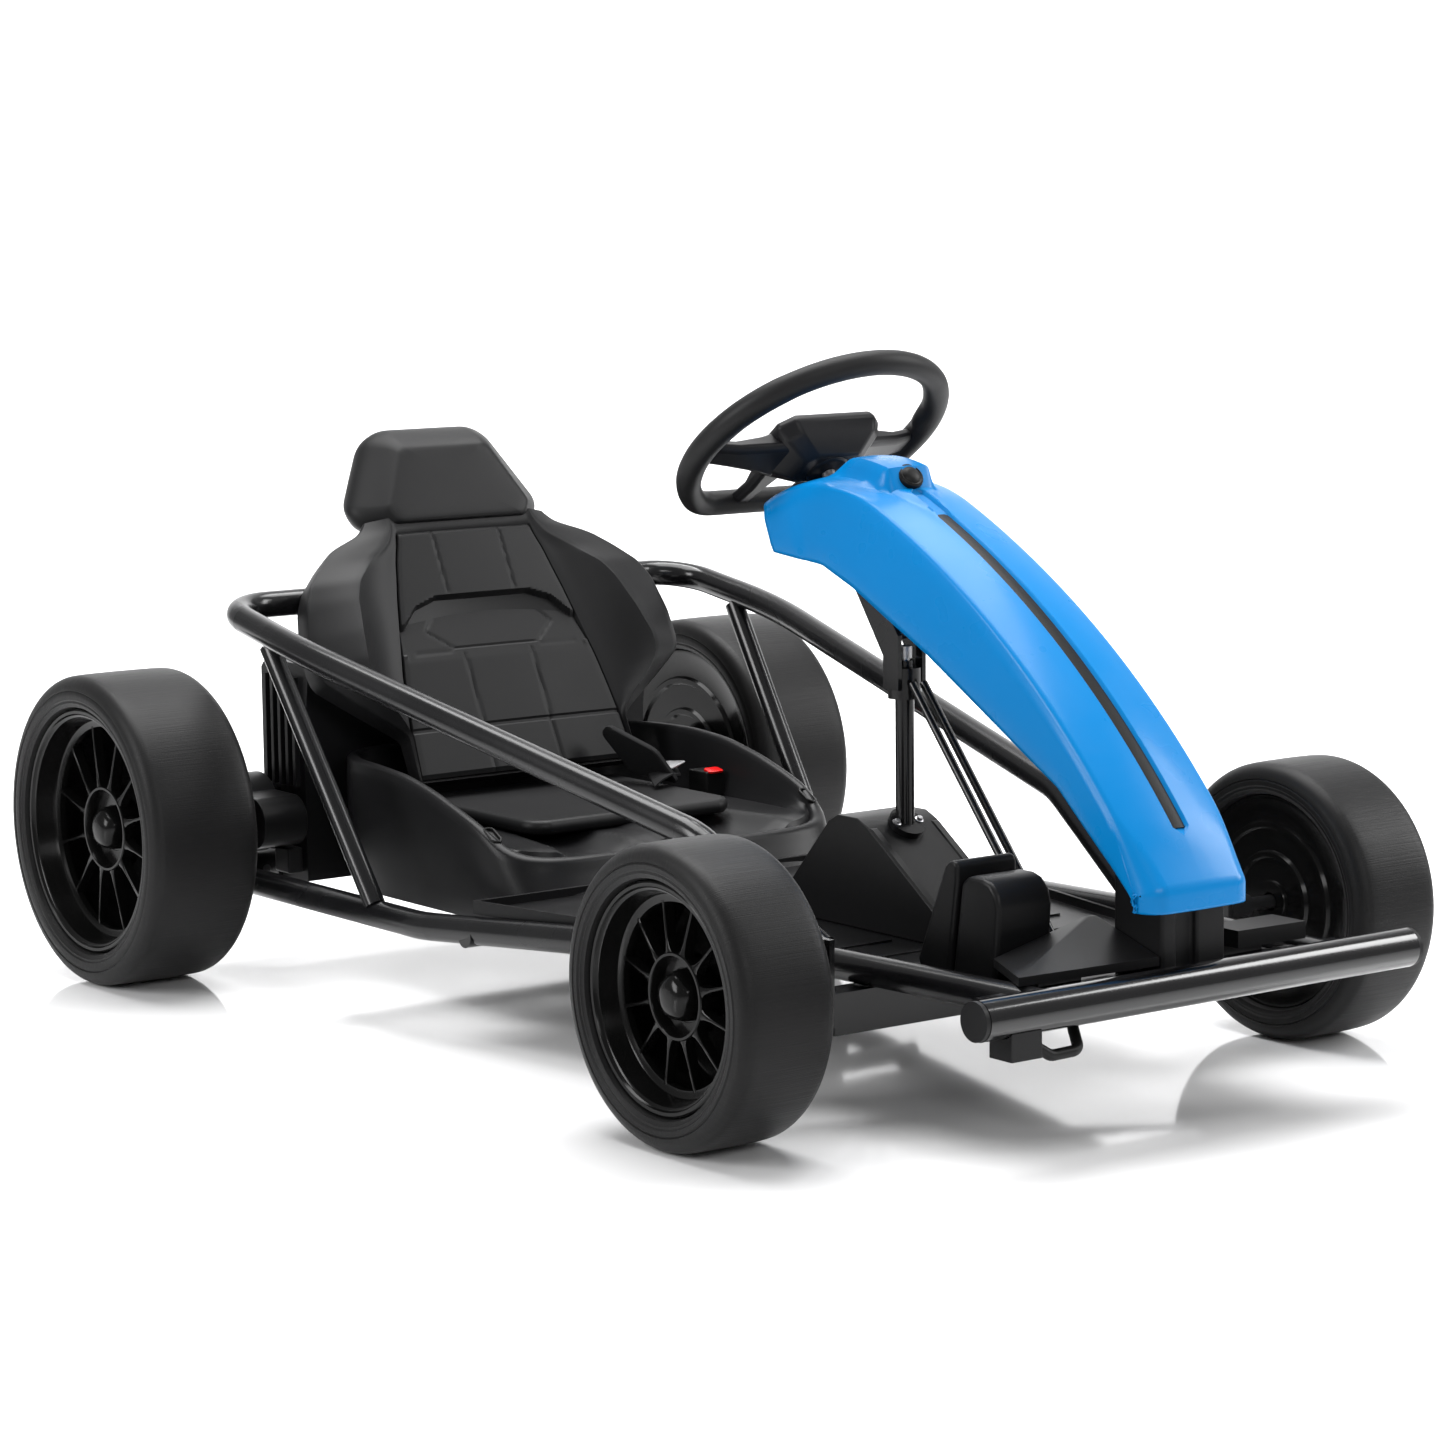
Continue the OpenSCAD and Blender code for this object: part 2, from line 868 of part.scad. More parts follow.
// Lap belt: a strap over the cushion with its tongue, and the buckle with a push button
module lap_belt() {
    color("#1a1a1b")
        difference() {
            translate([104, 250, 164 + 2 * seat_gap])
                rotate([0, -24, 20])
                    cube([6, 74, 52]);
            seat_space();
        }
}

module belt_buckle() {
    color("#1a1a1b")
        translate([146, 236, 150 + seat_gap])
            cube([22, 30, 24]);
}

// Battery housing behind the seat, ribbed at its sides, with a notch over the rear axle
module battery_box() {
    half = 195;
    color("#242426") {
        difference() {
            side_slab(2 * half)
                polygon([
                    [408 + seat_gap, 84], [408 + seat_gap, 218], [399.5, 284], [406, 290], [478, 290], [486, 282],
                    [486, rear_z + 14], [463, rear_z + 8], [463, 84]
                ]);
            translate([0, 445, 286])
                linear_extrude(10)
                    rounded(300, 50, 10);
        }
        both_sides()
            for (y = [418 : 13 : 470])
                translate([half - 1, y, rear_z + 28])
                    cube([6, 5, 104]);
    }
}

module battery_latch() {
    color("#202022")
        both_sides()
            translate([195 + seat_gap, 416, rear_z - 53])
                cube([16, 26, 24]);
}

// Rear axle and the two drive gearboxes
module rear_axle() {
    color("#8a8a8d")
        translate([-(rear_track + rear_tyre_w) / 2 + hub_inset, rear_y, rear_z])
            rotate([0, 90, 0])
                cylinder(h = rear_track + rear_tyre_w - 2 * hub_inset, d = axle_d);
}

// A gearbox fills the room between the axle and the side tube
gear_r = axle_drop - tube_r - 4.5;

module drive_gearboxes() {
    color("#1f1f21")
        both_sides()
            translate([206, rear_y, rear_z])
                rotate([0, 90, 0])
                    difference() {
                        union() {
                            cylinder(h = 70, r = gear_r);
                            translate([0, -64, 0])
                                cylinder(h = 46, r = 24);
                            translate([-24, -64, 0])
                                cube([48, 64, 46]);
                        }
                        translate([0, 0, -1])
                            cylinder(h = 80, d = axle_d + 2 * seat_gap);
                    }
}

// Plug under the bumper, and the cable that hangs from it in a short loop
module plug_housing() {
    color("#19191a")
        difference() {
            translate([-202, bumper_y - 12, 87])
                cube([30, 26, 23]);
            translate([-250, bumper_y, bumper_z])
                rotate([0, 90, 0])
                    cylinder(h = 100, r = bumper_r + seat_gap);
        }
}

cable_path = [
    [-169.4, -600, 95], [-150, -600, 83], [-120, -598, 83],
    [-107, -576, 96], [-107, -574, bumper_z - 0.4]
];

module front_cable() {
    color("#171718")
        bent_tube(cable_path, [0, 13, 14, 12, 0], 4.5);
}

// Steering wheel
module in_wheel_plane() {
    translate(wheel_c)
        rotate([column_tilt - 90, 0, 0])
            rotate([0, 0, 180])
                children();
}

// Half angle of the arc that is cut flat near the driver, and its round corners
flat_h = 92;
corner_r = 36;
corner_y = flat_h - corner_r;
corner_x = sqrt(pow(wheel_r - corner_r, 2) - corner_y * corner_y);
arc_end = atan2(corner_y, corner_x);

module rim_ring(r) {
    mirror([0, 1, 0]) {
        rotate([0, 0, 180 - arc_end])
            rotate_extrude(angle = 180 + 2 * arc_end, $fn = 96)
                translate([wheel_r, 0])
                    circle(r = r);
        for (side = [-1, 1])
            translate([side * corner_x, corner_y, 0])
                rotate([0, 0, side > 0 ? arc_end - 1 : 89])
                    rotate_extrude(angle = 92 - arc_end, $fn = 96)
                        translate([corner_r, 0])
                            circle(r = r - 0.06);
        bar([-corner_x - 0.6, flat_h, 0], [corner_x + 0.6, flat_h, 0], r - 0.12);
    }
}

module steering_wheel_rim() {
    color("#242425")
        in_wheel_plane()
            rim_ring(wheel_rim_d / 2);
}

module steering_wheel_hub() {
    color("#1f1f21")
        difference() {
            in_wheel_plane() {
                translate([0, 0, -14])
                    linear_extrude(14)
                        difference() {
                            polygon([
                                [-104, 8], [-56, 22], [56, 22], [104, 8], [104, -18],
                                [46, -30], [38, -86], [-38, -86], [-46, -30], [-104, -18]
                            ]);
                            polygon([[-24, -50], [24, -50], [24, -78], [-24, -78]]);
                        }
                translate([0, -3, -2])
                    linear_extrude(9)
                        rounded(98, 62, 22);
                translate([0, 0, -34])
                    cylinder(h = 24, r = 22);
            }
            in_wheel_plane()
                rim_ring(wheel_rim_d / 2 + seat_gap);
        }
}

module steering_column() {
    color("#8a8a8d") {
        bar(joint_c + column_dir * 12, wheel_c - column_dir * 34.2, 6);
        bar(joint_c + column_dir * 4, joint_c + column_dir * 14, 7);
    }
}

module lower_shaft() {
    color("#8a8a8d")
        translate([0, post_y, 0]) {
            translate([0, 0, arm_z])
                cylinder(h = joint_c[2] - 4 - arm_z, d = 10);
            translate([0, 0, joint_c[2] - 14])
                cylinder(h = 10, d = 15);
            translate([0, 0, arm_z])
                linear_extrude(arm_t - 2)
                    steering_plate();
            for (x = [-plate_pin_x, plate_pin_x])
                translate([x, arm_l, rod_z - 7])
                    cylinder(h = arm_z - rod_z + 7 + 2, d = pin_d);
        }
}

module steering_plate() {
    circle(r = 14);
    polygon([[-13, 0], [-plate_pin_x - 9, arm_l], [plate_pin_x + 9, arm_l], [13, 0]]);
    for (x = [-plate_pin_x, plate_pin_x])
        translate([x, arm_l])
            circle(r = 9);
}

// Tie rod from the plate under the post to one steering arm
module tie_rod(side) {
    a = [side * plate_pin_x, post_y + arm_l, rod_z];
    b = [side * (kingpin_x + plate_pin_x), front_y + arm_l, rod_z];
    d = unit(b - a);
    color("#77777a")
        difference() {
            union() {
                bar(a + d * 6, b - d * 6, 4.5);
                for (p = [a, b])
                    translate([p[0], p[1], rod_z - 5])
                        cylinder(h = 10, d = pin_d + 8);
            }
            for (p = [a, b])
                translate([p[0], p[1], rod_z - 10])
                    cylinder(h = 20, d = pin_d + 2 * run_gap);
        }
}

module tie_rod_left() { tie_rod(1); }
module tie_rod_right() { tie_rod(-1); }

// Knuckle: a barrel on the kingpin, a stub axle for the wheel and an arm for the rod
module knuckle(side) {
    stub_l = front_track / 2 + front_tyre_w / 2 - hub_inset - kingpin_x;
    pin = [kingpin_x + plate_pin_x, front_y + arm_l];
    color("#3a3a3c")
        mirror([side < 0 ? 1 : 0, 0, 0])
            difference() {
                union() {
                    translate([kingpin_x, front_y, 97.5])
                        cylinder(h = 47, d = 22);
                    translate([kingpin_x, front_y, front_z])
                        rotate([0, 90, 0]) {
                            cylinder(h = stub_l, d = axle_d);
                            cylinder(h = 30, d = 20);
                        }
                    translate([0, 0, arm_z])
                        linear_extrude(arm_t) {
                            polygon([
                                [kingpin_x - 9, front_y], [pin[0] - 8, pin[1]],
                                [pin[0] + 8, pin[1]], [kingpin_x + 9, front_y]
                            ]);
                            translate(pin)
                                circle(r = 8.5);
                        }
                    translate([pin[0], pin[1], rod_z - 7])
                        cylinder(h = arm_z - rod_z + 9, d = pin_d);
                }
                translate([kingpin_x, front_y, 80])
                    cylinder(h = 90, d = 10 + 2 * run_gap);
            }
}

module knuckle_left() { knuckle(1); }
module knuckle_right() { knuckle(-1); }

// Tyre section, drawn with the wheel's axis along Y and the tread outwards
module tyre_section(r_out, w, r_in) {
    h = r_out - r_in;
    difference() {
        translate([r_in + h / 2, 0])
            rounded(h, w, shoulder_r);
        for (y = [-1, 1], ring = [0.3, 0.62])
            translate([r_in + h * ring, y * (w / 2 + 0.6)])
                circle(r = 1.5);
    }
    translate([r_in + 3, 0])
        square([6, w - 16], center = true);
}

module tyre(x, y, r_out, w, r_in) {
    color("#2a2a2b")
        translate([x, y, r_out])
            rotate([0, 90, 0])
                rotate_extrude($fn = 96)
                    tyre_section(r_out, w, r_in + seat_gap);
}

// Rim: a barrel with a lip, a closed back with ribs, thin spokes and a domed cap.
// Drawn with +Z pointing away from the kart.
module rim(x, y, z, r, w) {
    side = x > 0 ? 1 : -1;
    hub_r = r * 0.37;
    face = w / 2 - spoke_inset;
    back = -w / 2 + 12;
    color("#141415")
        translate([x, y, z])
            rotate([0, side * 90, 0])
                difference() {
                    union() {
                        rotate_extrude($fn = 96)
                            rim_section(r, w, hub_r, face, back);
                        for (i = [0 : spoke_count - 1])
                            rotate([0, 0, (i + 0.5) * 360 / spoke_count])
                                translate([hub_r - 1, -1.6, face - 10])
                                    cube([r - 6 - hub_r + 1, 3.2, 8]);
                    }
                    translate([0, 0, -w])
                        cylinder(h = w + w / 2 - hub_inset + 1.5, d = axle_d + 2 * run_gap);
                }
}

module rim_section(r, w, hub_r, face, back) {
    // Barrel, with a lip at its outer edge
    translate([r - 7, -w / 2 + 8])
        square([7, w - 16]);
    translate([r - 10, w / 2 - 10])
        square([7, 4]);
    // Closed back with two round ribs
    translate([0, back])
        square([r - 1, 3]);
    for (ring = [0.42, 0.7])
        translate([r * ring, back - 3])
            square([4, 4]);
    // Hub ring, hub boss and cap
    translate([hub_r - 5, back])
        square([5, face - back]);
    translate([0, back - 4])
        square([17, face - back + 2]);
    translate([0, face - 8])
        square([hub_r - 1, 3]);
    intersection() {
        translate([0, face - 14])
            circle(r = 21);
        translate([0, face - 6])
            square([20, 14]);
    }
}

module tyre_front_left() { tyre(front_track / 2, front_y, front_tyre_d / 2, front_tyre_w, front_rim_r); }
module tyre_front_right() { tyre(-front_track / 2, front_y, front_tyre_d / 2, front_tyre_w, front_rim_r); }
module tyre_rear_left() { tyre(rear_track / 2, rear_y, rear_tyre_d / 2, rear_tyre_w, rear_rim_r); }
module tyre_rear_right() { tyre(-rear_track / 2, rear_y, rear_tyre_d / 2, rear_tyre_w, rear_rim_r); }
module rim_front_left() { rim(front_track / 2, front_y, front_z, front_rim_r, front_tyre_w); }
module rim_front_right() { rim(-front_track / 2, front_y, front_z, front_rim_r, front_tyre_w); }
module rim_rear_left() { rim(rear_track / 2, rear_y, rear_z, rear_rim_r, rear_tyre_w); }
module rim_rear_right() { rim(-rear_track / 2, rear_y, rear_z, rear_rim_r, rear_tyre_w); }

side_tubes();
cross_members();
side_hoop();
hoop_struts();
front_bumper();
bumper_caps();
bumper_plate();
front_axle_beam();
floor_tray();
steering_tunnel();
steering_post();
column_bracket();
brace_rods();
fairing_shell();
fairing_inlay();
nose_block();
pedal_housing();
accelerator_pedal();
toe_ramps();
hip_tub();
seat_cushion();
seat_back();
seat_back_panel();
headrest();
lap_belt();
belt_buckle();
battery_box();
battery_latch();
rear_axle();
drive_gearboxes();
plug_housing();
front_cable();
steering_wheel_rim();
steering_wheel_hub();
steering_column();
lower_shaft();
tie_rod_left();
tie_rod_right();
knuckle_left();
knuckle_right();
tyre_front_left();
tyre_front_right();
tyre_rear_left();
tyre_rear_right();
rim_front_left();
rim_front_right();
rim_rear_left();
rim_rear_right();
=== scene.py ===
# %% [markdown]
# # A child's electric drift kart, dressed in Blender
# The frame below brings in the kart's CAD solids, already in place. This lesson gives
# them their finishes and swaps the plainest ones for pieces with finer shapes: tyres,
# rims, fairing, seat and steering wheel. Everything is in metres, the kart faces -Y and
# the ground is Z = 0.

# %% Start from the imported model
import bpy
import bmesh
import json
from math import sin, cos, pi, radians, atan2, hypot, sqrt
from mathutils import Vector, Matrix, noise


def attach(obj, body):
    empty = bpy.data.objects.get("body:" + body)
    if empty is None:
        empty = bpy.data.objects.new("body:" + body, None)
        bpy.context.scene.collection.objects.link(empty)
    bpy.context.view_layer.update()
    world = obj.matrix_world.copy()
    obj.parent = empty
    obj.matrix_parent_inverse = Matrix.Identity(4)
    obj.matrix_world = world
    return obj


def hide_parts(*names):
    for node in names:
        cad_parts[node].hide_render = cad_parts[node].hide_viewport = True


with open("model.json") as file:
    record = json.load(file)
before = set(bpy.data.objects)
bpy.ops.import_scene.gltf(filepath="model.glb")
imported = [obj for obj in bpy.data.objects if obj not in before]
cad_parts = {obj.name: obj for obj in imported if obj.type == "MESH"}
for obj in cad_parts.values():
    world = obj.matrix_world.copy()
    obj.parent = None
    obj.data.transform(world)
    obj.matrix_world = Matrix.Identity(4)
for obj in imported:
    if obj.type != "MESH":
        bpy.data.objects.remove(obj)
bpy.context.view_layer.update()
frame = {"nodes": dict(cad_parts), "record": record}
nodes = frame["nodes"]

# %% [markdown]
# ## Camera
# The photograph looks down a little on the kart's right front corner through a long
# lens. The place and the three directions were worked out from the wheels, the bumper
# and the steering wheel, so the render can be laid over the photograph.

# %% Camera at the photograph's angle
lens_data = bpy.data.cameras.new("camera")
lens_data.lens = 36.0 * 4053.46 / 1445.0
lens_data.sensor_width = 36.0
lens_data.clip_start, lens_data.clip_end = 0.1, 60.0
camera = bpy.data.objects.new("camera", lens_data)
bpy.context.scene.collection.objects.link(camera)
right, up, back = (0.80280, -0.59615, -0.01122), (0.09004, 0.10260, 0.99064), (-0.58942, -0.79630, 0.13604)
camera.matrix_world = Matrix((
    (right[0], up[0], back[0], -2.12108),
    (right[1], up[1], back[1], -2.85325),
    (right[2], up[2], back[2], 0.74829),
    (0, 0, 0, 1),
))
bpy.context.scene.camera = camera
print("camera lens", round(lens_data.lens, 1), "mm")

# %% [markdown]
# ## Studio
# The photograph was taken on a shiny white table in front of white paper. A large pale
# floor that goes up behind the kart does the same. Its gloss gives the faint mirror
# image under the tyres.

# %% Floor and light
def mesh_piece(name, verts, faces, smooth=0.0):
    """A new mesh object. smooth is the angle, in degrees, under which edges look round."""
    mesh = bpy.data.meshes.new(name)
    mesh.from_pydata([tuple(v) for v in verts], [], faces)
    mesh.update()
    piece = bpy.data.objects.new(name, mesh)
    bpy.context.scene.collection.objects.link(piece)
    if smooth:
        soften(piece, smooth)
    return piece


def soften(piece, angle=35):
    """Rounds the shading over edges flatter than the angle and keeps the others crisp."""
    for face in piece.data.polygons:
        face.use_smooth = True
    piece.data.set_sharp_from_angle(angle=radians(angle))


def shader(name):
    """A new material and its main shader."""
    material = bpy.data.materials.new(name)
    material.use_nodes = True
    return material, material.node_tree.nodes["Principled BSDF"]


def link(material, a, b):
    material.node_tree.links.new(a, b)


sweep_steps = 24
floor_verts, floor_faces = [], []
profile = [(-9.0, 0.0), (4.0, 0.0)]
profile += [(4.0 + 3.0 * sin(a * pi / 2 / sweep_steps), 3.0 - 3.0 * cos(a * pi / 2 / sweep_steps))
            for a in range(1, sweep_steps + 1)]
profile += [(7.0, 9.0)]
for x in (-14.0, 14.0):
    floor_verts += [(x, y, z) for y, z in profile]
count = len(profile)
floor_faces = [(i, i + 1, count + i + 1, count + i) for i in range(count - 1)]
floor = mesh_piece("studio_floor", floor_verts, floor_faces, smooth=40)
floor.rotation_euler = (0, 0, radians(-36.5))

paper, paper_shader = shader("white_table")
paper_tree = paper.node_tree
paper_noise = paper_tree.nodes.new("ShaderNodeTexNoise")
paper_noise.inputs["Scale"].default_value = 3.0
paper_mix = paper_tree.nodes.new("ShaderNodeMixRGB")
paper_mix.inputs["Color1"].default_value = (0.90, 0.90, 0.905, 1)
paper_mix.inputs["Color2"].default_value = (0.93, 0.93, 0.935, 1)
link(paper, paper_noise.outputs["Fac"], paper_mix.inputs["Fac"])
link(paper, paper_mix.outputs["Color"], paper_shader.inputs["Base Color"])
paper_shader.inputs["Roughness"].default_value = 0.07
paper_shader.inputs["Specular IOR Level"].default_value = 0.75
floor.data.materials.append(paper)


def soft_box(name, place, target, size, power, tint=(1, 1, 1)):
    """A rectangular studio light that points at the target."""
    data = bpy.data.lights.new(name, "AREA")
    data.shape = "RECTANGLE"
    data.size, data.size_y = size
    data.energy = power
    data.color = tint
    lamp = bpy.data.objects.new(name, data)
    bpy.context.scene.collection.objects.link(lamp)
    lamp.location = place
    lamp.rotation_euler = (Vector(target) - Vector(place)).to_track_quat("-Z", "Y").to_euler()
    return lamp


middle = (0, 0, 0.25)
soft_box("top_light", (0.3, 0.5, 3.2), middle, (3.0, 2.4), 190)
soft_box("left_light", (-3.6, 0.6, 1.9), middle, (1.2, 2.2), 95)
soft_box("right_light", (3.0, -1.6, 2.0), middle, (1.2, 2.2), 95)
soft_box("front_light", (-0.9, -4.2, 2.2), middle, (2.4, 1.0), 50)
soft_box("paper_light", (1.0, 1.6, 4.0), (3.8, 5.2, 1.5), (3.0, 1.6), 420)

world = bpy.data.worlds.new("studio")
bpy.context.scene.world = world
world.use_nodes = True
world.node_tree.nodes["Background"].inputs["Color"].default_value = (1, 1, 1, 1)
world.node_tree.nodes["Background"].inputs["Strength"].default_value = 0.36
bpy.context.scene.view_settings.view_transform = "Standard"

# %% [markdown]
# ## Finishes
# Almost all of the kart is black, so the finishes have to differ in their gloss and
# grain. Each one is made from the same few nodes: a fine noise for the grain, a slow
# noise that makes the gloss a little uneven, and a small change of tone. The functions
# are named for what a maker would call the finish.

# %% Nodes that all finishes share
def position(tree):
    """Coordinates that stay on the piece, in metres."""
    return tree.nodes.new("ShaderNodeTexCoord").outputs["Object"]


def noise_node(tree, scale, detail=3.0, rough=0.5):
    node = tree.nodes.new("ShaderNodeTexNoise")
    node.inputs["Scale"].default_value = scale
    node.inputs["Detail"].default_value = detail
    node.inputs["Roughness"].default_value = rough
    tree.links.new(position(tree), node.inputs["Vector"])
    return node.outputs["Fac"]


def remap(tree, value, low, high, from_low=0.3, from_high=0.7):
    node = tree.nodes.new("ShaderNodeMapRange")
    node.inputs["From Min"].default_value = from_low
    node.inputs["From Max"].default_value = from_high
    node.inputs["To Min"].default_value = low
    node.inputs["To Max"].default_value = high
    tree.links.new(value, node.inputs["Value"])
    return node.outputs["Result"]


def two_tones(tree, fac, dark, light):
    node = tree.nodes.new("ShaderNodeMixRGB")
    node.inputs["Color1"].default_value = (*dark, 1)
    node.inputs["Color2"].default_value = (*light, 1)
    tree.links.new(fac, node.inputs["Fac"])
    return node.outputs["Color"]


def relief(tree, height, depth, under=None):
    """Turns a height into tiny bumps, depth in metres, on top of others if given."""
    node = tree.nodes.new("ShaderNodeBump")
    node.inputs["Strength"].default_value = 1.0
    node.inputs["Distance"].default_value = depth
    tree.links.new(height, node.inputs["Height"])
    if under is not None:
        tree.links.new(under, node.inputs["Normal"])
    return node.outputs["Normal"]


def lighter(colour, share):
    return tuple(min(1.0, c * share) for c in colour)


def moulded(name, colour, gloss=(0.38, 0.5), grain=900, depth=0.00006, waves=0.0):
    """Moulded plastic: fine spark-eroded grain, slightly uneven gloss."""
    material, main = shader(name)
    tree = material.node_tree
    slow = noise_node(tree, 6.0, 2.0)
    fine = noise_node(tree, grain, 2.0)
    tree.links.new(two_tones(tree, slow, lighter(colour, 0.82), lighter(colour, 1.18)), main.inputs["Base Color"])
    tree.links.new(remap(tree, slow, *gloss), main.inputs["Roughness"])
    main.inputs["Specular IOR Level"].default_value = 0.17
    bumps = relief(tree, fine, depth)
    if waves:
        bumps = relief(tree, noise_node(tree, 14.0, 1.0), waves, bumps)
    tree.links.new(bumps, main.inputs["Normal"])
    return material


def painted(name, colour, gloss=(0.26, 0.36), coat=0.25):
    """Paint on steel: a slight orange-peel surface under a thin clear coat."""
    material, main = shader(name)
    tree = material.node_tree
    slow = noise_node(tree, 9.0, 2.0)
    tree.links.new(two_tones(tree, slow, lighter(colour, 0.85), lighter(colour, 1.2)), main.inputs["Base Color"])
    tree.links.new(remap(tree, slow, *gloss), main.inputs["Roughness"])
    peel = relief(tree, noise_node(tree, 420.0, 1.0), 0.00004)
    tree.links.new(peel, main.inputs["Normal"])
    main.inputs["Specular IOR Level"].default_value = 0.24
    main.inputs["Coat Weight"].default_value = coat
    main.inputs["Coat Roughness"].default_value = 0.14
    return material


def metal(name, colour, gloss=(0.28, 0.42), brushed=180):
    """Plated steel with faint drawing marks."""
    material, main = shader(name)
    tree = material.node_tree
    slow = noise_node(tree, 20.0, 3.0)
    tree.links.new(two_tones(tree, slow, lighter(colour, 0.8), lighter(colour, 1.15)), main.inputs["Base Color"])
    tree.links.new(remap(tree, noise_node(tree, brushed, 4.0), *gloss), main.inputs["Roughness"])
    tree.links.new(relief(tree, noise_node(tree, brushed * 4, 2.0), 0.00002), main.inputs["Normal"])
    main.inputs["Metallic"].default_value = 1.0
    return material


def gloss_paint(name, colour, rough=0.26):
    """Bright glossy plastic, coloured through, with a clear coat."""
    material, main = shader(name)
    tree = material.node_tree
    slow = noise_node(tree, 4.0, 2.0)
    tree.links.new(two_tones(tree, slow, lighter(colour, 0.96), lighter(colour, 1.04)), main.inputs["Base Color"])
    tree.links.new(remap(tree, noise_node(tree, 30.0, 2.0), rough, rough + 0.07), main.inputs["Roughness"])
    tree.links.new(relief(tree, noise_node(tree, 60.0, 1.0), 0.00004), main.inputs["Normal"])
    main.inputs["Specular IOR Level"].default_value = 0.14
    main.inputs["Coat Weight"].default_value = 0.07
    main.inputs["Coat Roughness"].default_value = 0.14
    return material


# %% The kart's finishes
finishes = {
    "frame_black": painted("satin_black_paint", (0.0045, 0.0045, 0.005), gloss=(0.20, 0.30)),
    "bumper_black": painted("bumper_paint", (0.003, 0.003, 0.0034), gloss=(0.12, 0.18), coat=0.7),
    "cap_black": moulded("cap_plastic", (0.010, 0.010, 0.0105)),
    "fairing_azure": gloss_paint("azure_gloss", (0.0002, 0.165, 0.44)),
    "inlay_black": moulded("inlay_plastic", (0.0025, 0.0025, 0.0025), gloss=(0.40, 0.50), grain=420, depth=0.00012),
    "body_black": moulded("body_plastic", (0.0055, 0.0055, 0.006), gloss=(0.34, 0.44)),
    "seat_black": moulded("seat_plastic", (0.0075, 0.0075, 0.008), gloss=(0.38, 0.48)),
    "seat_panel": moulded("seat_panel_plastic", (0.0060, 0.0060, 0.0064), gloss=(0.42, 0.52)),
    "belt_web": moulded("belt_webbing", (0.006, 0.006, 0.0065), gloss=(0.7, 0.8), grain=600, depth=0.0002),
    "buckle_black": moulded("buckle_plastic", (0.006, 0.006, 0.006), gloss=(0.3, 0.4)),
    "button_red": moulded("button_plastic", (0.55, 0.006, 0.006), gloss=(0.25, 0.35)),
    "axle_steel": metal("plated_steel", (0.42, 0.42, 0.43)),
    "knuckle_dark": painted("knuckle_paint", (0.012, 0.012, 0.0125)),
    "cable_black": moulded("cable_rubber", (0.006, 0.006, 0.006), gloss=(0.4, 0.5)),
    "wheel_grip": moulded("grip_rubber", (0.0085, 0.0085, 0.009), gloss=(0.42, 0.52), depth=0.00012),
    "wheel_centre": moulded("wheel_plastic", (0.0080, 0.0080, 0.009), gloss=(0.34, 0.44)),
    "tyre_black": moulded("tyre_rubber", (0.022, 0.022, 0.023), gloss=(0.42, 0.52), grain=500),
    "rim_black": moulded("rim_plastic", (0.0035, 0.0035, 0.0035), gloss=(0.14, 0.20), depth=0.00002),
}
slot_of = {s["node"]: s["material_slot"] for s in frame["record"]["subparts"]}
for name, node in nodes.items():
    for index in range(len(node.data.materials)):
        node.data.materials[index] = finishes[slot_of[name]]
print("finishes:", len(finishes))

# %% [markdown]
# ## Wheels: tyres
# Each tyre is one moulded ring of soft plastic without tread. It could be a torus, but
# a real one has a nearly flat tread, tight shoulders and shallow rings on its side wall,
# so its half outline is drawn point by point and turned round the axle.

# %% A helper that turns an outline round the axle
wheel_places = {
    "front_left": (Vector((0.322, -0.388, 0.120)), 1, 0.120, 0.0900, 0.092),
    "front_right": (Vector((-0.322, -0.388, 0.120)), -1, 0.120, 0.0900, 0.092),
    "rear_left": (Vector((0.343, 0.475, 0.145)), 1, 0.145, 0.1110, 0.114),
    "rear_right": (Vector((-0.343, 0.475, 0.145)), -1, 0.145, 0.1110, 0.114),
}


def turned(name, outline, centre, side, steps=120, closed=True, smooth=32):
    """Turns (outwards, radius) points round the axle through centre."""
    verts, faces = [], []
    for k in range(steps):
        a = 2 * pi * k / steps
        for out, radius in outline:
            verts.append(centre + Vector((side * out, radius * sin(a), radius * cos(a))))
    n = len(outline)
    for k in range(steps):
        here, there = k * n, (k + 1) % steps * n
        for i in range(n if closed else n - 1):
            j = (i + 1) % n
            face = (here + i, here + j, there + j, there + i)
            faces.append(face if side > 0 else face[::-1])
    return mesh_piece(name, verts, faces, smooth)


def arc(centre, radius, start, end, steps):
    """Points on an arc in the (outwards, radius) plane, angles in degrees."""
    return [(centre[0] + radius * cos(radians(start + (end - start) * i / steps)),
             centre[1] + radius * sin(radians(start + (end - start) * i / steps)))
            for i in range(steps + 1)]


def tyre_outline(radius, width, bore):
    """Half outline of the tyre, mirrored: side wall with two shallow rings, shoulder, tread."""
    half, r = width / 2, 0.0135
    wall = [(half - 0.0055, bore + 0.0008), (half - 0.0030, bore + 0.0016), (half - 0.0022, bore + 0.0040),
            (half - 0.0012, bore + 0.0052), (half - 0.0014, bore + 0.0072), (half - 0.0003, bore + 0.0085),
            (half, bore + 0.0120), (half - 0.0004, radius - r - 0.0018), (half - 0.0010, radius - r - 0.0010),
            (half - 0.0003, radius - r - 0.0003)]
    shoulder = arc((half - r, radius - r - 0.0006), r, 2, 84, 9)
    tread = [(half * k, radius - 0.0008 * k * k) for k in (0.62, 0.36, 0.12)]
    near = wall + shoulder + tread
    return near + [(-o, q) for o, q in reversed(near)] + [(-half + 0.011, bore - 0.0002), (half - 0.011, bore - 0.0002)]


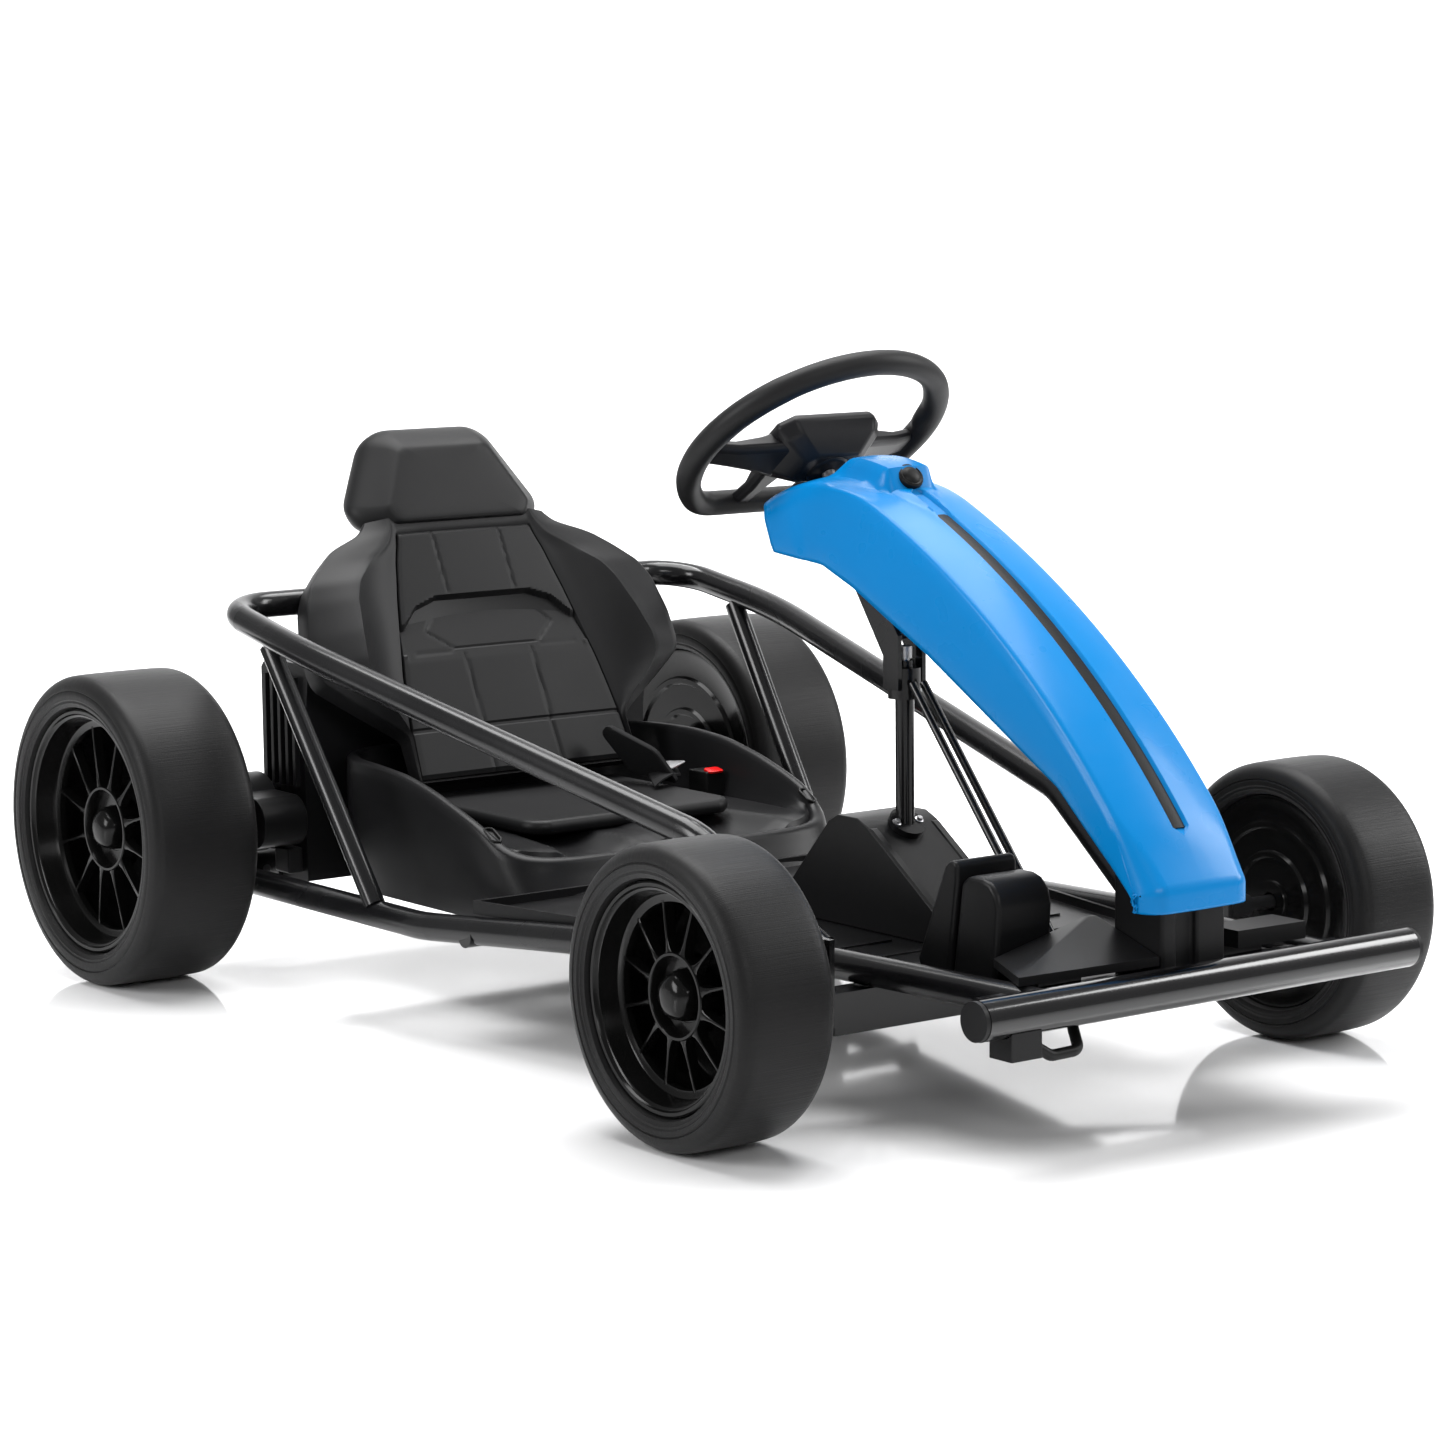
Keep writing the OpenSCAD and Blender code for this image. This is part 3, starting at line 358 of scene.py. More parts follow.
tyres = {}
for place, (centre, side, radius, width, rim_radius) in wheel_places.items():
    tyre = turned("tyre_" + place + "_skin", tyre_outline(radius, width, rim_radius), centre, side, 160)
    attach(tyre, "wheel_" + place)
    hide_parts("tyre_" + place)
    tyres[place] = tyre
print("tyres:", len(tyres), "each with", len(tyres["rear_left"].data.polygons), "faces")

# %% [markdown]
# ## Tyre rubber
# The tread shows hair-fine lines across it, left by the mould, and a dull sheen that is
# brighter on the shoulder. The lines need the angle round the axle, so the finish works
# it out from the piece's own coordinates. Front and rear tyres have their axle at
# different places, which gives two versions of one finish.

# %% Rubber with mould lines round the axle
def tyre_rubber(name, axle_y, axle_z):
    material, main = shader(name)
    tree = material.node_tree
    split = tree.nodes.new("ShaderNodeSeparateXYZ")
    tree.links.new(position(tree), split.inputs[0])

    def math_node(kind, a, b):
        node = tree.nodes.new("ShaderNodeMath")
        node.operation = kind
        for socket, value in zip(node.inputs, (a, b)):
            if isinstance(value, (int, float)):
                socket.default_value = value
            else:
                tree.links.new(value, socket)
        return node.outputs[0]

    y = math_node("SUBTRACT", split.outputs["Y"], axle_y)
    z = math_node("SUBTRACT", split.outputs["Z"], axle_z)
    angle = math_node("ARCTAN2", y, z)
    distance = math_node("SQRT", math_node("ADD", math_node("MULTIPLY", y, y), math_node("MULTIPLY", z, z)), 0)
    wrap = tree.nodes.new("ShaderNodeCombineXYZ")
    tree.links.new(math_node("MULTIPLY", angle, 60.0), wrap.inputs["X"])
    tree.links.new(math_node("MULTIPLY", split.outputs["X"], 7.0), wrap.inputs["Y"])
    tree.links.new(math_node("MULTIPLY", distance, 40.0), wrap.inputs["Z"])
    lines = tree.nodes.new("ShaderNodeTexNoise")
    lines.inputs["Scale"].default_value = 2.6
    lines.inputs["Detail"].default_value = 4.0
    tree.links.new(wrap.outputs[0], lines.inputs["Vector"])
    slow = noise_node(tree, 7.0, 2.0)
    tree.links.new(two_tones(tree, slow, (0.0050, 0.0050, 0.0053), (0.0085, 0.0083, 0.0085)), main.inputs["Base Color"])
    tree.links.new(remap(tree, lines.outputs["Fac"], 0.40, 0.50), main.inputs["Roughness"])
    grain = relief(tree, noise_node(tree, 700.0, 2.0), 0.00005)
    tree.links.new(relief(tree, lines.outputs["Fac"], 0.00022, grain), main.inputs["Normal"])
    main.inputs["Specular IOR Level"].default_value = 0.15
    main.inputs["Sheen Weight"].default_value = 0.02
    main.inputs["Sheen Roughness"].default_value = 0.45
    return material


front_rubber = tyre_rubber("front_tyre_rubber", -0.388, 0.120)
rear_rubber = tyre_rubber("rear_tyre_rubber", 0.475, 0.145)
for place, tyre in tyres.items():
    tyre.data.materials.append(front_rubber if place.startswith("front") else rear_rubber)
print("rubber on", len(tyres), "tyres")

# %% [markdown]
# ## Wheels: rims
# A rim is one deep plastic moulding: a stepped lip, a smooth band that runs inwards like
# a shallow bowl, and a spider of thin spokes at its bottom. The spokes are thin plates on
# edge, wider where they run into the hub ring, and behind them there is only the dark
# inside. The turned parts use the helper above and the spokes are small tapered plates.

# %% Rim parts
spokes_per_rim = 12


def spoke_ring(name, centre, side, r_in, r_out, face_in, face_out, depth):
    """Spokes on edge between two radii. face_in and face_out are their front edges."""
    verts, faces = [], []
    stations = [(0.0, 0.0050), (0.10, 0.0026), (0.30, 0.0013), (0.85, 0.0012), (0.95, 0.0018), (1.0, 0.0032)]
    for k in range(spokes_per_rim):
        a = 2 * pi * (k + 0.5) / spokes_per_rim
        along, across = Vector((0, sin(a), cos(a))), Vector((0, cos(a), -sin(a)))
        base = len(verts)
        for t, half in stations:
            r = r_in + (r_out - r_in) * t
            face = face_in + (face_out - face_in) * t
            for out, h in ((face - 0.0006, half), (face, half * 0.55), (face, -half * 0.55),
                           (face - 0.0006, -half), (face - depth, -half * 1.2), (face - depth, half * 1.2)):
                verts.append(centre + along * r + across * h + Vector((side * out, 0, 0)))
        for i in range(len(stations) - 1):
            for j in range(6):
                b, c = base + 6 * i, base + 6 * i + 6
                quad = (b + j, b + (j + 1) % 6, c + (j + 1) % 6, c + j)
                faces.append(quad if side > 0 else quad[::-1])
        last = base + 6 * (len(stations) - 1)
        ends = [tuple(base + j for j in range(5, -1, -1)), tuple(last + j for j in range(6))]
        faces += ends if side > 0 else [e[::-1] for e in ends]
    return mesh_piece(name, verts, faces, smooth=35)


def joined(name, pieces, smooth=35):
    """Several meshes as one piece."""
    parts = bmesh.new()
    for piece in pieces:
        parts.from_mesh(piece.data)
        bpy.data.objects.remove(piece)
    bmesh.ops.remove_doubles(parts, verts=parts.verts, dist=1e-6)
    mesh = bpy.data.meshes.new(name)
    parts.to_mesh(mesh)
    parts.free()
    whole = bpy.data.objects.new(name, mesh)
    bpy.context.scene.collection.objects.link(whole)
    soften(whole, smooth)
    return whole


def rim_bowl(radius, half, deep):
    """Outline of lip, bowl, rear disc and outside, as one closed band."""
    front, back = half - 0.0060, -half + 0.0080
    ledge = half - deep
    return [(front - 0.0040, radius - 0.0004), (front - 0.0010, radius - 0.0008), (front, radius - 0.0024),
            (front - 0.0002, radius - 0.0050), (front - 0.0022, radius - 0.0060), (front - 0.0030, radius - 0.0066),
            (front - 0.0036, radius - 0.0084), (ledge + 0.0040, radius - 0.0120), (ledge + 0.0010, radius - 0.0130),
            (ledge, radius - 0.0150), (ledge - 0.0006, radius - 0.0190), (ledge - 0.0060, radius - 0.0194),
            (ledge - 0.0062, radius - 0.0150), (back + 0.0080, radius - 0.0090), (back + 0.0045, radius - 0.0100),
            (back + 0.0040, 0.0180), (back + 0.0010, 0.0180), (back + 0.0010, radius * 0.40), (back - 0.0020, radius * 0.42),
            (back - 0.0020, radius * 0.46), (back + 0.0010, radius * 0.48), (back + 0.0010, radius * 0.68),
            (back - 0.0020, radius * 0.70), (back - 0.0020, radius * 0.74), (back + 0.0010, radius * 0.76),
            (back + 0.0012, radius - 0.0060), (back, radius - 0.0040), (back, radius - 0.0010), (back + 0.0030, radius - 0.0004)]


def hub_outline(ring, face, back):
    """Hub ring with its flange, open towards the axle."""
    return [(face - 0.0180, ring), (face - 0.0010, ring), (face, ring - 0.0008), (face, ring - 0.0028),
            (face - 0.0012, ring - 0.0036), (face - 0.0110, ring - 0.0052), (face - 0.0115, 0.0215),
            (face - 0.0180, 0.0210)]


def hub_cap(name, centre, side, base, top, radius):
    """Faceted dome over the axle's nut: five soft lobes."""
    steps, rings = 60, 9
    verts, faces = [], []
    for i in range(rings + 1):
        t = i / rings
        out = base + (top - base) * sin(t * pi / 2) ** 0.8
        r0 = radius * (cos(t * pi / 2) ** 0.62 if t < 1 else 0.0)
        for k in range(steps):
            a = 2 * pi * k / steps
            lobe = 1 + 0.055 * cos(5 * a) * (1 - t)
            verts.append(centre + Vector((side * out, r0 * lobe * sin(a), r0 * lobe * cos(a))))
    for i in range(rings):
        for k in range(steps):
            a, b = i * steps + k, i * steps + (k + 1) % steps
            quad = (a, a + steps, b + steps, b)
            faces.append(quad if side > 0 else quad[::-1])
    return mesh_piece(name, verts, faces, smooth=50)


for place, (centre, side, radius, width, rim_radius) in wheel_places.items():
    half, deep = width / 2, 0.0255 if place.startswith("front") else 0.0290
    ring = 0.0345 if place.startswith("front") else 0.0395
    face = half - deep + 0.0040
    name = "rim_" + place
    parts = [
        turned("bowl", rim_bowl(rim_radius, half, deep), centre, side, 144),
        turned("ring", hub_outline(ring, face, 0), centre, side, 96),
        turned("boss", [(face - 0.0120, 0.0212), (face - 0.0130, 0.0222), (-half + 0.0090, 0.0190), (-half + 0.0062, 0.0175),
                        (-half + 0.0062, 0.0080), (face - 0.0120, 0.0080)], centre, side, 72),
        spoke_ring("spokes", centre, side, ring - 0.0010, rim_radius - 0.0170, face - 0.0008, half - deep - 0.0004, 0.0090),
        hub_cap("cap", centre, side, face - 0.0110, face + 0.0075, 0.0200),
    ]
    rim = joined(name + "_moulding", parts)
    rim.data.materials.append(finishes["rim_black"])
    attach(rim, "wheel_" + place)
    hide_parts(name)

# %% [markdown]
# ## Fairing
# The blue fairing is one thin moulded shell. Seen from the side it is a short tight arc
# under the steering wheel that runs into a long flat one and turns down at the nose.
# The mesh follows that path with one cross section after another: a nearly flat top
# with a channel for the stripe, a soft crease, and side walls that reach down to the
# skirt's cut line. Raised parts, such as the collar, are added to the height.

# %% The fairing's path in the side view
join_point = Vector((-0.269, 0.469))


def turn_point(centre, radius, degrees):
    """Point and outward direction at an angle from the top of a circle, towards the front."""
    normal = Vector((-sin(radians(degrees)), cos(radians(degrees))))
    return centre + normal * radius, normal


lean = Vector((sin(radians(24)), -cos(radians(24))))
front_centre, rear_centre = join_point + lean * 0.840, join_point + lean * 0.170
path = [turn_point(rear_centre, 0.170, a) for a in [-29 + 53 * k / 30 for k in range(30)]]
path += [turn_point(front_centre, 0.840, a) for a in [24 + 29.6 * k / 58 for k in range(59)]]
bend_centre = path[-1][0] - path[-1][1] * 0.014
path += [turn_point(bend_centre, 0.014, a) for a in (58, 64, 70, 76, 83, 90)]
path += [(Vector((path[-1][0].x, z)), Vector((-1.0, 0.0))) for z in (0.188, 0.184, 0.1805, 0.1785)]

skirt_line = [Vector(p) for p in ((-0.1375, 0.4245), (-0.204, 0.4185), (-0.245, 0.4030), (-0.288, 0.3815), (-0.341, 0.3560),
                                  (-0.425, 0.3090), (-0.501, 0.2660), (-0.563, 0.2110), (-0.588, 0.1860), (-0.5935, 0.1785),
                                  (-0.6060, 0.1785))]
lengths = [0.0]
for a, b in zip(path, path[1:]):
    lengths.append(lengths[-1] + (b[0] - a[0]).length)


def smooth_step(low, high, value):
    t = min(1.0, max(0.0, (value - low) / (high - low)))
    return t * t * (3 - 2 * t)


def skirt_point(share):
    """Point on the skirt's cut line at a share of the way from the tail to the nose."""
    spans = [(b - a).length for a, b in zip(skirt_line, skirt_line[1:])]
    want = share * sum(spans)
    for a, b, span in zip(skirt_line, skirt_line[1:], spans):
        if want <= span:
            return a.lerp(b, want / span)
        want -= span
    return skirt_line[-1].copy()


stripe_from, stripe_to = 0.0, 0.0
for (p, n), s in zip(path, lengths):
    if p.x > -0.256:
        stripe_from = s
    if p.x > -0.584:
        stripe_to = s
print("fairing path:", len(path), "sections over", round(lengths[-1], 3), "m")

# %% [markdown]
# The top's height over the crease is a sum of small forms: the crown across the width,
# a flat step round the steering column, the collar that stands up behind the stripe,
# and the stripe's channel. Each of them is one line that fades in and out softly.

# %% Cross sections of the fairing
def stripe_half(s, half):
    """Half width of the stripe at a length along the path, round at both ends."""
    inside = min(s - stripe_from, stripe_to - s)
    if inside <= 0:
        return 0.0
    return half * sqrt(max(0.0, 1 - (1 - min(1.0, inside / half)) ** 2))


def top_height(x, s, p, half_width):
    """Height of the top over the crease. x is the distance from the middle."""
    crown = 0.0065 - 0.0040 * smooth_step(0.57, 0.612, -p.x)
    height = crown * (1 - (x / half_width) ** 2)
    line = -0.199 - (0.050 - min(x, 0.050)) * 1.9
    height += 0.0020 * smooth_step(line - 0.003, line + 0.003, p.x) * smooth_step(0.052, 0.047, x)
    rise = smooth_step(-0.172, -0.206, p.x) * smooth_step(-0.2515, -0.2470, p.x)
    height += 0.0150 * rise * smooth_step(0.0295, 0.0205, x)
    return height


def fairing_columns(s, p):
    """(x, height) over the top from the middle to the crease, then down the rounding."""
    wide = 0.0510 + 0.0035 * smooth_step(0.30, 0.56, -p.x)
    edge = 0.0045 + 0.0130 * smooth_step(0.560, 0.607, -p.x)
    channel = stripe_half(s, 0.0080)
    points = [(channel * k, top_height(0, s, p, wide) - 0.0038 * (1 if channel > 0 else 0)) for k in (0.0, 0.40, 0.72)]
    points.append((channel * 0.93 + 1e-5, top_height(0, s, p, wide) - (0.0010 if channel > 0 else 0)))
    points.append((channel + 0.0006, top_height(channel, s, p, wide)))
    for x in (0.0100, 0.0140, 0.0180, 0.0205, 0.0228, 0.0250, 0.0272, 0.0295, 0.0330):
        points.append((max(x, channel + 0.002), top_height(x, s, p, wide)))
    for k in (0.35, 0.7, 1.0):
        x = 0.033 + (wide - edge - 0.033) * k
        points.append((x, top_height(x, s, p, wide)))
    start = points[-1][1]
    for a in (18, 36, 54, 72, 88):
        points.append((wide - edge + edge * sin(radians(a)), start * (1 - a / 88) - edge + edge * cos(radians(a))))
    return points, wide, edge


# %% Build the shell
rows = []
for (p, n), s in zip(path, lengths):
    columns, wide, edge = fairing_columns(s, p)
    foot = skirt_point(min(1.0, (s / lengths[-1]) ** 0.97))
    half_row = [(x, p.x + n.x * h, p.y + n.y * h) for x, h in columns]
    corner = Vector(half_row[-1][1:])
    if p.x < -0.570:
        foot = Vector((max(foot.x, corner.x + 0.0015), foot.y))
    facet = 0.0016 * smooth_step(-0.172, -0.164, foot.x * 0.5 + corner.x * 0.5)
    for v in (0.05, 0.2, 0.4, 0.6, 0.8, 0.93, 1.0):
        q = corner.lerp(foot, v)
        drop = (corner - q).length
        x = wide + 0.0008 + min(0.0055, drop * 0.075) + facet * smooth_step(0.0, 0.25, v) - 0.0012 * smooth_step(0.85, 1.0, v)
        half_row.append((x, q.x, q.y))
    left = [Vector((-x, y, z)) for x, y, z in reversed(half_row)]
    right = [Vector((x, y, z)) for x, y, z in half_row[1:]]
    rows.append(left + right)
verts = [v for row in rows for v in row]
n_col = len(rows[0])
middle_col = n_col // 2
faces = []
for i in range(len(rows) - 1):
    for j in range(n_col - 1):
        a = i * n_col + j
        centre = (verts[a] + verts[a + n_col + 1]) * 0.5
        if -0.1720 < centre.y < -0.1380 and abs(centre.x) < 0.0135:
            continue
        faces.append((a, a + n_col, a + n_col + 1, a + 1))
shell = mesh_piece("fairing_skin", verts, faces)
welded = bmesh.new()
welded.from_mesh(shell.data)
bmesh.ops.remove_doubles(welded, verts=welded.verts, dist=2e-5)
welded.to_mesh(shell.data)
welded.free()
soften(shell, 34)
wall = shell.modifiers.new("wall", "SOLIDIFY")
wall.thickness, wall.offset = 0.0028, -1.0
shell.data.materials.append(finishes["fairing_azure"])
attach(shell, "chassis")
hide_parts("fairing_shell")
print("fairing:", len(shell.data.polygons), "faces, wall", wall.thickness)

# %% [markdown]
# ## Stripe and boss
# The dark stripe is a separate strip of grained plastic at the bottom of the channel.
# It starts under a round black boss in the collar's front and ends in a half circle.

# %% Stripe and boss
verts, faces, count = [], [], 0
for (p, n), s in zip(path, lengths):
    half = stripe_half(s, 0.0068)
    if half <= 0:
        continue
    base = 0.0065 - 0.0040 * smooth_step(0.57, 0.612, -p.x)
    for x, h in ((-half, -0.0036), (-half * 0.92, -0.0026), (-half * 0.4, -0.0022), (half * 0.4, -0.0022),
                 (half * 0.92, -0.0026), (half, -0.0036)):
        q = p + n * (base + h)
        verts.append((x, q.x, q.y))
    count += 1
for i in range(count - 1):
    for j in range(5):
        a = i * 6 + j
        faces.append((a, a + 6, a + 7, a + 1))
    faces.append((i * 6 + 5, i * 6 + 11, i * 6 + 6, i * 6))
faces.append(tuple(range(6)))
faces.append(tuple(reversed(range((count - 1) * 6, count * 6))))
strip = mesh_piece("strip", verts, faces, smooth=30)

boss_at, boss_normal = Vector((0, -0.2505, 0.4905)), Vector((0, -0.80, 0.60)).normalized()
side_way = Vector((1, 0, 0))
up_way = boss_normal.cross(side_way)
rings = [(0.0000, -0.006, 0.0128), (0.0006, 0.0022, 0.0128), (0.0012, 0.0042, 0.0120), (0.002, 0.0054, 0.0104),
         (0.003, 0.0050, 0.0090), (0.004, 0.0066, 0.0070), (0.005, 0.0074, 0.0036)]
verts, faces = [], []
for _, out, radius in rings:
    for k in range(40):
        a = 2 * pi * k / 40
        verts.append(boss_at + boss_normal * out + side_way * radius * cos(a) + up_way * radius * 0.92 * sin(a))
for i in range(len(rings) - 1):
    for k in range(40):
        a, b = i * 40 + k, i * 40 + (k + 1) % 40
        faces.append((a, b, b + 40, a + 40))
faces.append(tuple(range(39, -1, -1)))
faces.append(tuple((len(rings) - 1) * 40 + k for k in range(40)))
boss = mesh_piece("boss", verts, faces, smooth=30)
inlay = joined("fairing_stripe", [strip, boss], 30)
inlay.data.materials.append(finishes["inlay_black"])
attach(inlay, "chassis")
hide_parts("fairing_inlay")
print("stripe sections:", count)

# %% [markdown]
# ## Seat back
# The seat back is one moulded shell: two side wings that rise in a soft ridge, with a
# flat band outside the ridge and a hollow slope inside it, round a middle panel that is
# grained like leather. It is a surface over the back's own plane: each row up the slope
# gives where the seam, the ridge and the edge lie and how far they stand out, and the
# rows between are smooth blends of them.

# %% The plane of the seat back
seat_lean = radians(26)
seat_foot = Vector((0, 0.327, 0.196))
seat_up = Vector((0, sin(seat_lean), cos(seat_lean)))
seat_out = Vector((0, -cos(seat_lean), sin(seat_lean)))


def on_seat(x, up, out):
    """A point from sideways, up the slope and out of the back's plane, in metres."""
    return seat_foot + seat_up * up + seat_out * out + Vector((x, 0, 0))


# Each row in mm: height, seam, ridge, ridge out, edge, edge out
wing_rows = [
    (-18, 122, 123, 3, 124, 1), (30, 118.5, 121, 5, 124, 3), (45, 116.5, 131, 12, 144, 5),
    (60, 114.7, 146, 20, 165, 6), (75, 112.4, 158, 27, 185, 8), (88, 110.5, 162, 30, 202, 8),
    (100, 108, 162, 30, 205, 8), (130, 101.5, 156, 25.5, 205, 7), (165, 94, 147, 18, 197, 7),
    (184, 89, 137, 13.5, 187, 6), (205, 84, 114, 5, 167, 0), (222, 78, 90, 3, 147, -5),
    (236, 75, 82, 2, 112, -8), (250, 74, 80, 0, 100, -10),
]


def wing_at(up):
    """The row's values at a height, blended softly between two rows."""
    rows = wing_rows
    if up <= rows[0][0]:
        return rows[0][1:]
    for low, high in zip(rows, rows[1:]):
        if up <= high[0]:
            t = (up - low[0]) / (high[0] - low[0])
            return [a + (b - a) * t for a, b in zip(low[1:], high[1:])]
    return rows[-1][1:]


def smooth_wing(up):
    """Mean of a few rows round a height, which takes the corners off the blends."""
    picks = [wing_at(up + d) for d in (-4, -2, 0, 2, 4)]
    return [sum(values) / len(picks) for values in zip(*picks)]


# %% [markdown]
# The middle panel is sewn in sections: two upright seams, a fold near the bottom, and a
# hexagon that is pressed in with a step at its top. Each seam is a narrow groove in the
# height of the panel.

# %% Height of the middle panel
def groove(distance, width=1.9, depth=1.0):
    return -depth * max(0.0, 1 - abs(distance) / width) ** 0.7


def line_distance(x, s, ends):
    """Distance in mm from a point to the line between two points."""
    (ax, ay), (bx, by) = ends
    dx, dy = bx - ax, by - ay
    t = max(0.0, min(1.0, ((x - ax) * dx + (s - ay) * dy) / (dx * dx + dy * dy)))
    return sqrt((x - ax - dx * t) ** 2 + (s - ay - dy * t) ** 2)


hexagon = [(-72, 132), (-48, 112), (48, 112), (72, 132), (52, 158), (-52, 158)]
upper_step = [(-101, 133), (-77, 157), (-52, 166), (52, 166), (77, 157), (101, 133)]


def step_height(x):
    """Height of the step over the hexagon at x, or None beside it."""
    for (ax, ay), (bx, by) in zip(upper_step, upper_step[1:]):
        if ax <= x <= bx:
            return ay + (by - ay) * (x - ax) / (bx - ax)
    return None


def panel_out(x, s, seam):
    """How far the panel stands out at x, s in mm."""
    out = 1.2 + 1.4 * (1 - min(1.0, abs(x) / max(seam, 1)) ** 2)
    step = step_height(x)
    if step is not None:
        below = (step - s) / 4.0
        fade = max(0.0, min(1.0, (s - 100) / 52))
        out -= 7.5 * max(0.0, min(1.0, below)) * fade * (1 if s < step else 0)
    edges = list(zip(hexagon, hexagon[1:] + hexagon[:1]))
    out += groove(min(line_distance(x, s, e) for e in edges), 1.9, 1.1)
    near = abs(abs(x) - 38)
    if s > 166 or s < 108:
        out += groove(near)
    out += groove(s - 33, 2.6, 2.0)
    out += groove(abs(s - 109) if 50 < abs(x) < 92 else 9.0, 2.0, 1.0)
    return out


# %% Build the seat back's shell
def strip_mesh(name, rows, heights):
    """A closed mesh from half rows of (x, out) in mm, mirrored, one for each height."""
    verts, faces = [], []
    for s, half_row in zip(heights, rows):
        for x, out in [(-x, out) for x, out in reversed(half_row)] + half_row[1:]:
            verts.append(on_seat(x / 1000, s / 1000, out / 1000))
    n = len(verts) // len(heights)
    for i in range(len(heights) - 1):
        for j in range(n - 1):
            a = i * n + j
            faces.append((a, a + n, a + n + 1, a + 1))
        faces.append((i * n, i * n + n - 1, (i + 2) * n - 1, (i + 1) * n))
    faces.append(tuple(range(n)))
    faces.append(tuple(reversed(range(len(verts) - n, len(verts)))))
    return mesh_piece(name, verts, faces, smooth=24)


def shell_row(s):
    """Half a section of the shell, from under the panel to the back of the edge."""
    seam, ridge, ridge_out, edge, edge_out = smooth_wing(s)
    seat = 1.0 - smooth_step(226, 236, s)
    low = -4.5 * seat
    points = [(0, low), (seam * 0.6, low), (seam - 0.6, low), (seam, low + 1.6 * seat), (seam + 1.2, -0.4 * seat)]
    for k in range(1, 11):
        t = k / 10
        points.append((seam + 1.2 + (ridge - seam - 1.2) * t, ridge_out * (0.30 * t + 0.70 * t ** 2.4)))
    points[-1] = (points[-1][0], points[-1][1] - 0.3)
    for t in (0.03, 0.2, 0.4, 0.6, 0.8, 0.97):
        points.append((ridge + (edge - ridge) * t, ridge_out + (edge_out - ridge_out) * t))
    points += [(edge, edge_out - 0.8), (edge + 0.3, edge_out - 3.0), (edge - 0.4, (edge_out - 19) / 2), (edge - 1.5, -18.0), (edge - 4.0, -19.0)]
    return [(x, max(out, -19.0)) for x, out in points]


shell_heights = [-16 + 3.0 * k for k in range(89)]
seat_shell = strip_mesh("seat_back_skin", [shell_row(s) for s in shell_heights], shell_heights)
seat_shell.data.materials.append(finishes["seat_black"])
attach(seat_shell, "chassis")
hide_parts("seat_back")

# %% Build the panel
panel_heights = [-14 + 2.0 * k for k in range(124)]


def panel_row(s):
    """Half a section of the panel: its top from the middle out, then the rolled edge."""
    seam = smooth_wing(s)[0] - 0.7
    drop = 2.6 * smooth_step(229, 232.5, s) + 2.6 * smooth_step(-10, -14, s)
    points = [(seam * k / 50, panel_out(seam * k / 50, s, seam) - drop) for k in range(49)]
    edge = points[-1][1]
    return points + [(seam - 0.8, edge - 0.5), (seam - 0.1, edge - 1.6), (seam, -4.0), (seam - 1.0, -4.4)]


panel = strip_mesh("seat_panel_skin", [panel_row(s) for s in panel_heights if s <= 233], [s for s in panel_heights if s <= 233])
panel.data.materials.append(finishes["seat_panel"])
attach(panel, "chassis")
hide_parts("seat_back_panel")
print("seat back:", len(seat_shell.data.polygons), "faces, panel:", len(panel.data.polygons))

# %% [markdown]
# ## Hip tub
# The base of the seat is a blow-moulded tub: its wall swells outwards, turns over in a
# round rim that climbs towards the back, and drops into a floor with two hollows for the
# thighs. It is built from closed loops that follow the tub's outline, first up the
# outside, then over the rim, and last across the floor towards the middle.

# %% Outline, rim height and floor height of the tub
tub_middle, tub_half_x, tub_half_y, tub_corner = Vector((0, 0.236)), 0.1895, 0.172, 0.060
rim_heights = [(0.054, 0.139), (0.080, 0.145), (0.097, 0.150), (0.127, 0.169), (0.155, 0.179), (0.202, 0.193), (0.250, 0.203), (0.300, 0.207), (0.420, 0.209)]


def tub_loop(t, inset):
    """A point of the tub's outline at an angle, as a rounded rectangle set in by inset."""
    a, b, r = tub_half_x - inset, tub_half_y - inset, max(tub_corner - inset * 0.6, 0.01)
    c, s = cos(t), sin(t)
    power = 6.5 if s < 0 else 4.6
    radius = (abs(c / a) ** power + abs(s / b) ** power) ** (-1 / power)
    return Vector((radius * c, tub_middle.y + radius * s))


def between(rows, value):
    """Soft blend between (place, height) rows."""
    if value <= rows[0][0]:
        return rows[0][1]
    for (a, low), (b, high) in zip(rows, rows[1:]):
        if value <= b:
            return low + (high - low) * (value - a) / (b - a)
    return rows[-1][1]


def rim_height(y):
    return sum(between(rim_heights, y + d) for d in (-0.012, -0.006, 0, 0.006, 0.012)) / 5


def floor_height(x, y):
    """The tub's floor with the hollow for each thigh, shallower towards the back."""
    base = 0.1500
    axis = 0.190 + (y - 0.020) * 0.105
    gap = abs(abs(x) - 0.084)
    trough = axis - sqrt(max(0.0, 0.064 ** 2 - gap ** 2)) if gap < 0.064 else base
    crown = 0.0030 * max(0.0, 1 - (x / 0.022) ** 2)
    low = min(base, trough) + crown
    front = smooth_step(0.105, 0.060, y)
    return low - 0.006 * front


